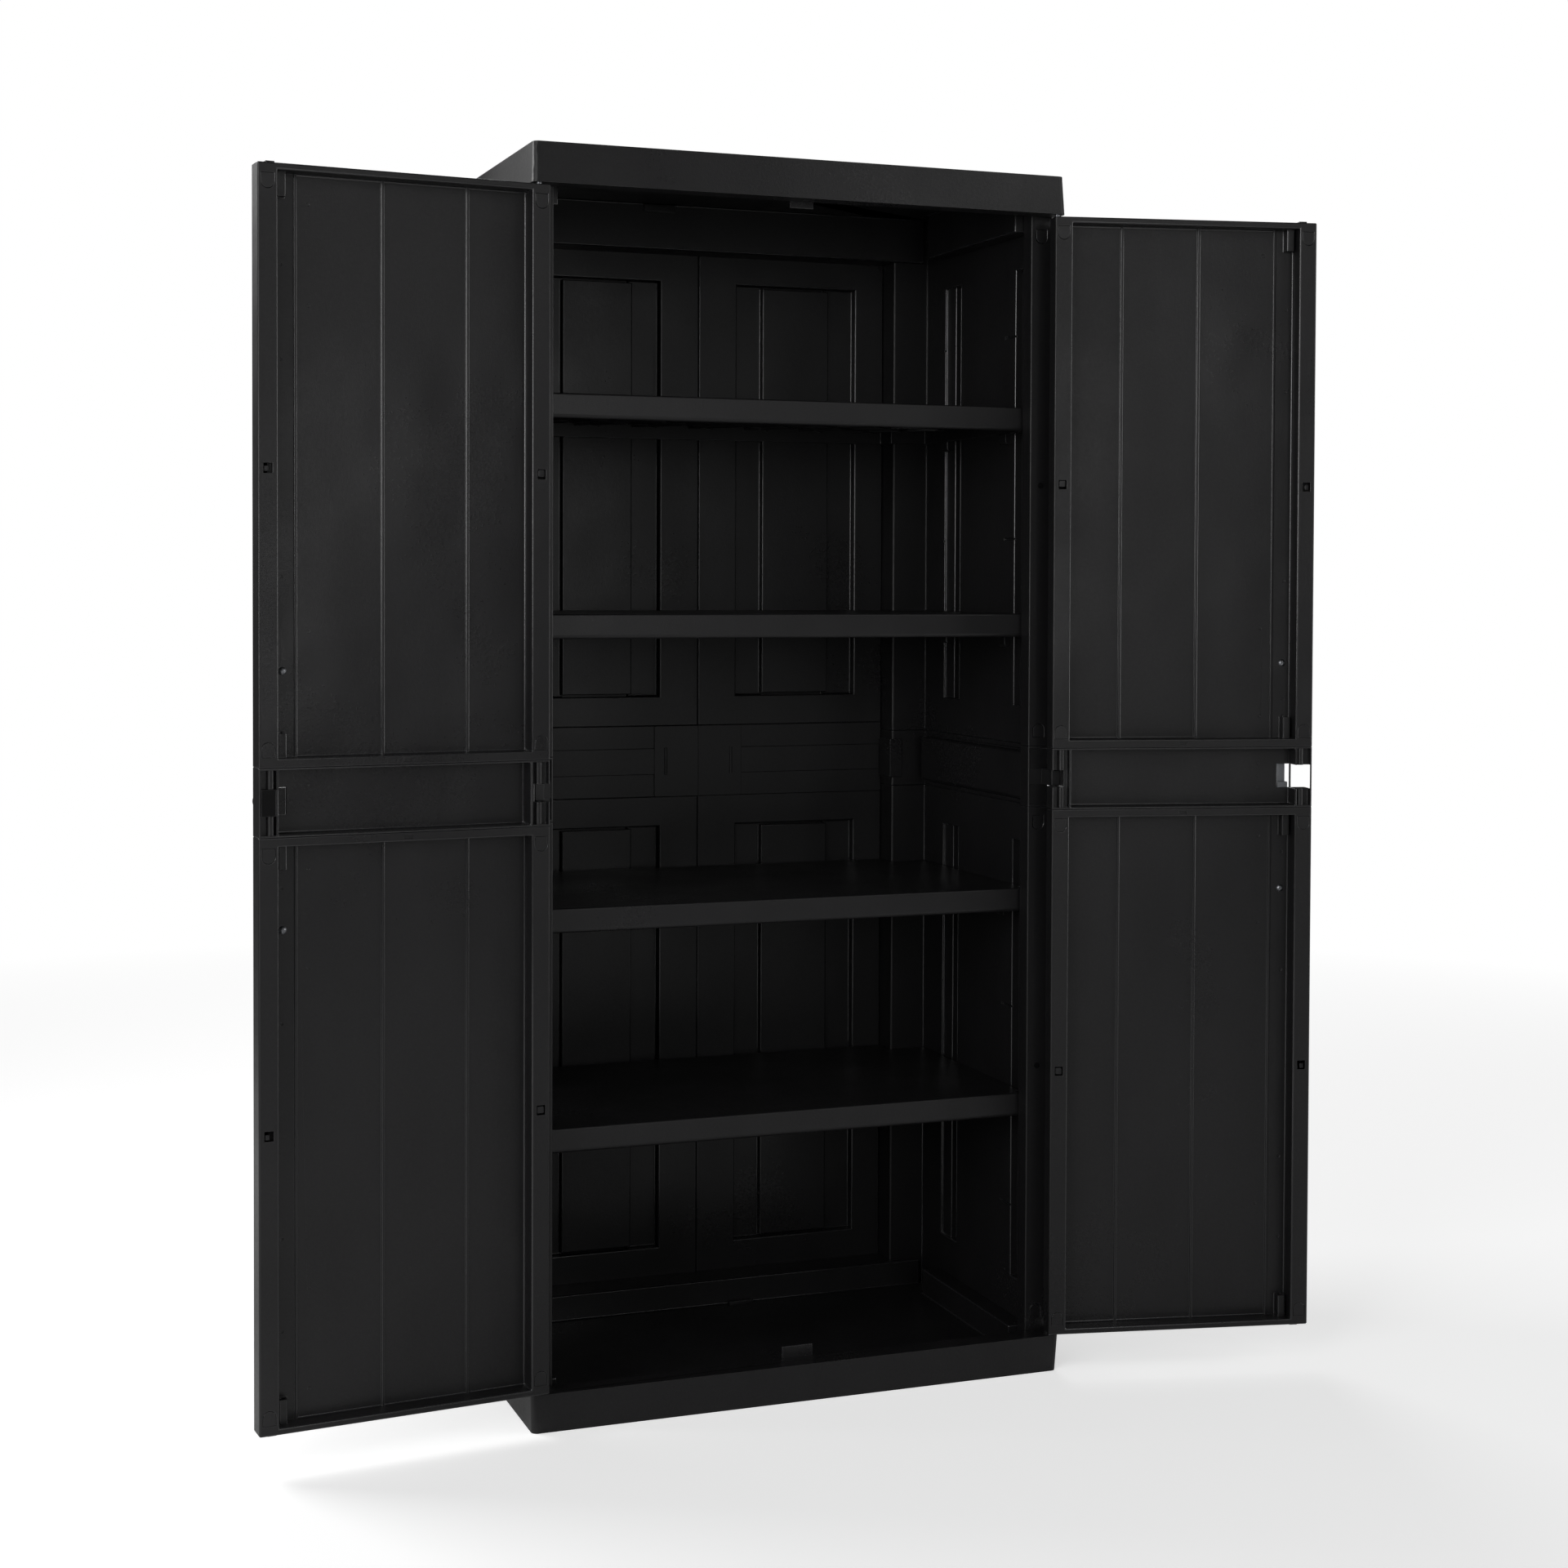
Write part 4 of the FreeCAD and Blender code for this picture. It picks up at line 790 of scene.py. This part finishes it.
@dataclass(frozen=True)
class Softbox:
    """One rectangular lamp: where it stands, where it faces, its size in metres and its power in watts."""

    name: str
    place: tuple[float, float, float]
    aim: tuple[float, float, float]
    width: float
    height: float
    power: float

    def build(self) -> bpy.types.Object:
        """Return the lamp object."""
        data = bpy.data.lights.new(self.name, "AREA")
        data.shape = "RECTANGLE"
        data.size = self.width
        data.size_y = self.height
        data.energy = self.power
        lamp = bpy.data.objects.new(self.name, data)
        lamp.location = self.place
        lamp.rotation_euler = (Vector(self.aim) - Vector(self.place)).to_track_quat("-Z", "Y").to_euler()
        bpy.context.scene.collection.objects.link(lamp)
        return lamp


@dataclass
class SoftStudio:
    """A pale floor under large soft lamps."""

    floor_half: float = 20.0
    floor_colour: tuple[float, float, float] = (0.80, 0.80, 0.80)
    floor_glow: float = 0.55
    floor_roughness: float = 0.9
    floor_cloud: float = 1.2
    floor_shade: float = 0.99
    fade_range: tuple[float, float] = (1.4, 4.5)
    fill_strength: float = 0.03
    lamps: tuple[Softbox, ...] = (
        Softbox("front_left_softbox", (-3.2, -3.4, 1.9), (0.0, -0.1, 1.0), 1.3, 1.5, 34.0),
        Softbox("left_softbox", (-4.2, -2.2, 1.7), (0.0, -0.1, 1.0), 1.2, 1.6, 27.0),
        Softbox("high_left_softbox", (-2.4, -2.6, 3.6), (0.0, -0.2, 1.0), 1.8, 1.4, 13.0),
        Softbox("front_softbox", (0.3, -4.8, 1.7), (0.0, -0.2, 1.0), 1.4, 1.8, 12.0),
        Softbox("high_right_softbox", (2.4, -3.4, 3.2), (0.0, -0.2, 1.0), 2.0, 1.6, 9.0),
        Softbox("right_softbox", (3.8, -2.0, 1.4), (0.3, -0.2, 1.0), 1.6, 2.4, 40.0),
        Softbox("rear_softbox", (-2.2, 1.3, 2.9), (-0.4, 0.0, 1.7), 1.6, 1.6, 56.0),
        Softbox("back_softbox", (0.8, 3.8, 2.8), (0.0, 0.1, 1.0), 2.4, 2.0, 45.0),
    )

    def world(self) -> None:
        """Give the scene an even white surround that also fills the shade a little."""
        world = bpy.data.worlds.new("white_surround")
        world.use_nodes = True
        tree = world.node_tree
        tree.nodes.clear()
        output = tree.nodes.new("ShaderNodeOutputWorld")
        mix = tree.nodes.new("ShaderNodeMixShader")
        seen = tree.nodes.new("ShaderNodeBackground")
        fill = tree.nodes.new("ShaderNodeBackground")
        path = tree.nodes.new("ShaderNodeLightPath")
        seen.inputs["Color"].default_value = (1.0, 1.0, 1.0, 1.0)
        seen.inputs["Strength"].default_value = 1.0
        fill.inputs["Color"].default_value = (1.0, 1.0, 1.0, 1.0)
        fill.inputs["Strength"].default_value = self.fill_strength
        tree.links.new(path.outputs["Is Camera Ray"], mix.inputs["Fac"])
        tree.links.new(fill.outputs["Background"], mix.inputs[1])
        tree.links.new(seen.outputs["Background"], mix.inputs[2])
        tree.links.new(mix.outputs["Shader"], output.inputs["Surface"])
        bpy.context.scene.world = world

    def floor(self) -> bpy.types.Object:
        """Return the plain pale floor."""
        half = self.floor_half
        corners = np.array([[-half, -half, 0.0], [half, -half, 0.0], [half, half, 0.0], [-half, half, 0.0]])
        mesh = bpy.data.meshes.new("floor")
        mesh.from_pydata(corners.tolist(), [], [(0, 1, 2, 3)])
        floor = bpy.data.objects.new("floor", mesh)
        bpy.context.scene.collection.objects.link(floor)
        nodes = NodeTree("pale_floor")
        shade = tuple(self.floor_shade * c for c in self.floor_colour)
        nodes.link(nodes.blend(nodes.noise(self.floor_cloud, 3.0), self.floor_colour, shade),
                   nodes.shader.inputs["Base Color"])
        nodes.shader.inputs["Roughness"].default_value = self.floor_roughness
        path = nodes.tree.nodes.new("ShaderNodeLightPath")
        glow = nodes.spread(path.outputs["Is Camera Ray"], 0.0, self.floor_glow, 0.0, 1.0)
        nodes.shader.inputs["Emission Color"].default_value = (1.0, 1.0, 1.0, 1.0)
        nodes.link(glow, nodes.shader.inputs["Emission Strength"])
        self.fade(nodes)
        mesh.materials.append(nodes.material)
        return floor

    def fade(self, nodes: NodeTree) -> None:
        """Turn the floor into the white surround some way behind and beside the cabinet.

        Args:
            nodes: The floor material's nodes.
        """
        tree = nodes.tree
        length = tree.nodes.new("ShaderNodeVectorMath")
        length.operation = "LENGTH"
        tree.links.new(nodes.place, length.inputs[0])
        path = tree.nodes.new("ShaderNodeLightPath")
        fade = nodes.spread(length.outputs["Value"], 0.0, 1.0, *self.fade_range)
        seen = tree.nodes.new("ShaderNodeMath")
        seen.operation = "MULTIPLY"
        tree.links.new(fade, seen.inputs[0])
        tree.links.new(path.outputs["Is Camera Ray"], seen.inputs[1])
        white = tree.nodes.new("ShaderNodeEmission")
        mix = tree.nodes.new("ShaderNodeMixShader")
        tree.links.new(seen.outputs[0], mix.inputs["Fac"])
        tree.links.new(nodes.shader.outputs["BSDF"], mix.inputs[1])
        tree.links.new(white.outputs["Emission"], mix.inputs[2])
        tree.links.new(mix.outputs["Shader"], nodes.output.inputs["Surface"])

    def build(self) -> None:
        """Make the surround, the floor and the lamps."""
        bpy.context.scene.view_settings.view_transform = "Standard"
        self.world()
        self.floor()
        for lamp in self.lamps:
            lamp.build()


# The cabinet


class Cabinet:
    """Every construction piece, in rounded form."""

    small: EdgeRound = EdgeRound(0.35 * MM)
    usual: EdgeRound = EdgeRound(1.2 * MM)
    broad: EdgeRound = EdgeRound(2.2 * MM, 3)

    def body_of(self, node: str) -> Body:
        """Return the body that a construction piece belongs to."""
        return Body(frame["nodes"][node]["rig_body"])

    def slot_of(self, node: str) -> Slot:
        """Return the material slot of a construction piece."""
        slots = {entry["node"]: entry["material_slot"] for entry in frame["record"]["subparts"]}
        return Slot(slots[node])

    def edge_of(self, node: str) -> EdgeRound:
        """Return how a construction piece's edges are rounded."""
        if node.endswith(("clips", "screws", "pin", "pivots", "washer")):
            return self.small
        if node.endswith(("panel", "band")) or node in ("base_plinth", "roof_cap"):
            return self.broad
        return self.usual

    def build(self, finishes: Finishes) -> None:
        """Round and dress every construction piece.

        Args:
            finishes: The cabinet's finishes.
        """
        for node in sorted(frame["nodes"]):
            piece = Moulding(node, self.body_of(node), self.slot_of(node), self.edge_of(node)).build(finishes)
            LOG.info("%s: %d faces", piece.name, len(piece.data.polygons))


def write_sizes() -> None:
    """Update the scene's placements."""
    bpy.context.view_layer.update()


def main() -> None:
    """Build the finishes, the cabinet, the camera and the studio."""
    logging.basicConfig(level=logging.INFO, format="%(message)s")
    finishes = Finishes()
    Cabinet().build(finishes)
    DoorRelief(LEFT_DOOR_PLACE, "left_door").build(finishes)
    DoorRelief(RIGHT_DOOR_PLACE, "right_door").build(finishes)
    BenchRelief().build(finishes)
    PhotographCamera().build()
    SoftStudio().build()
    write_sizes()


if __name__ == "__main__":
    main()
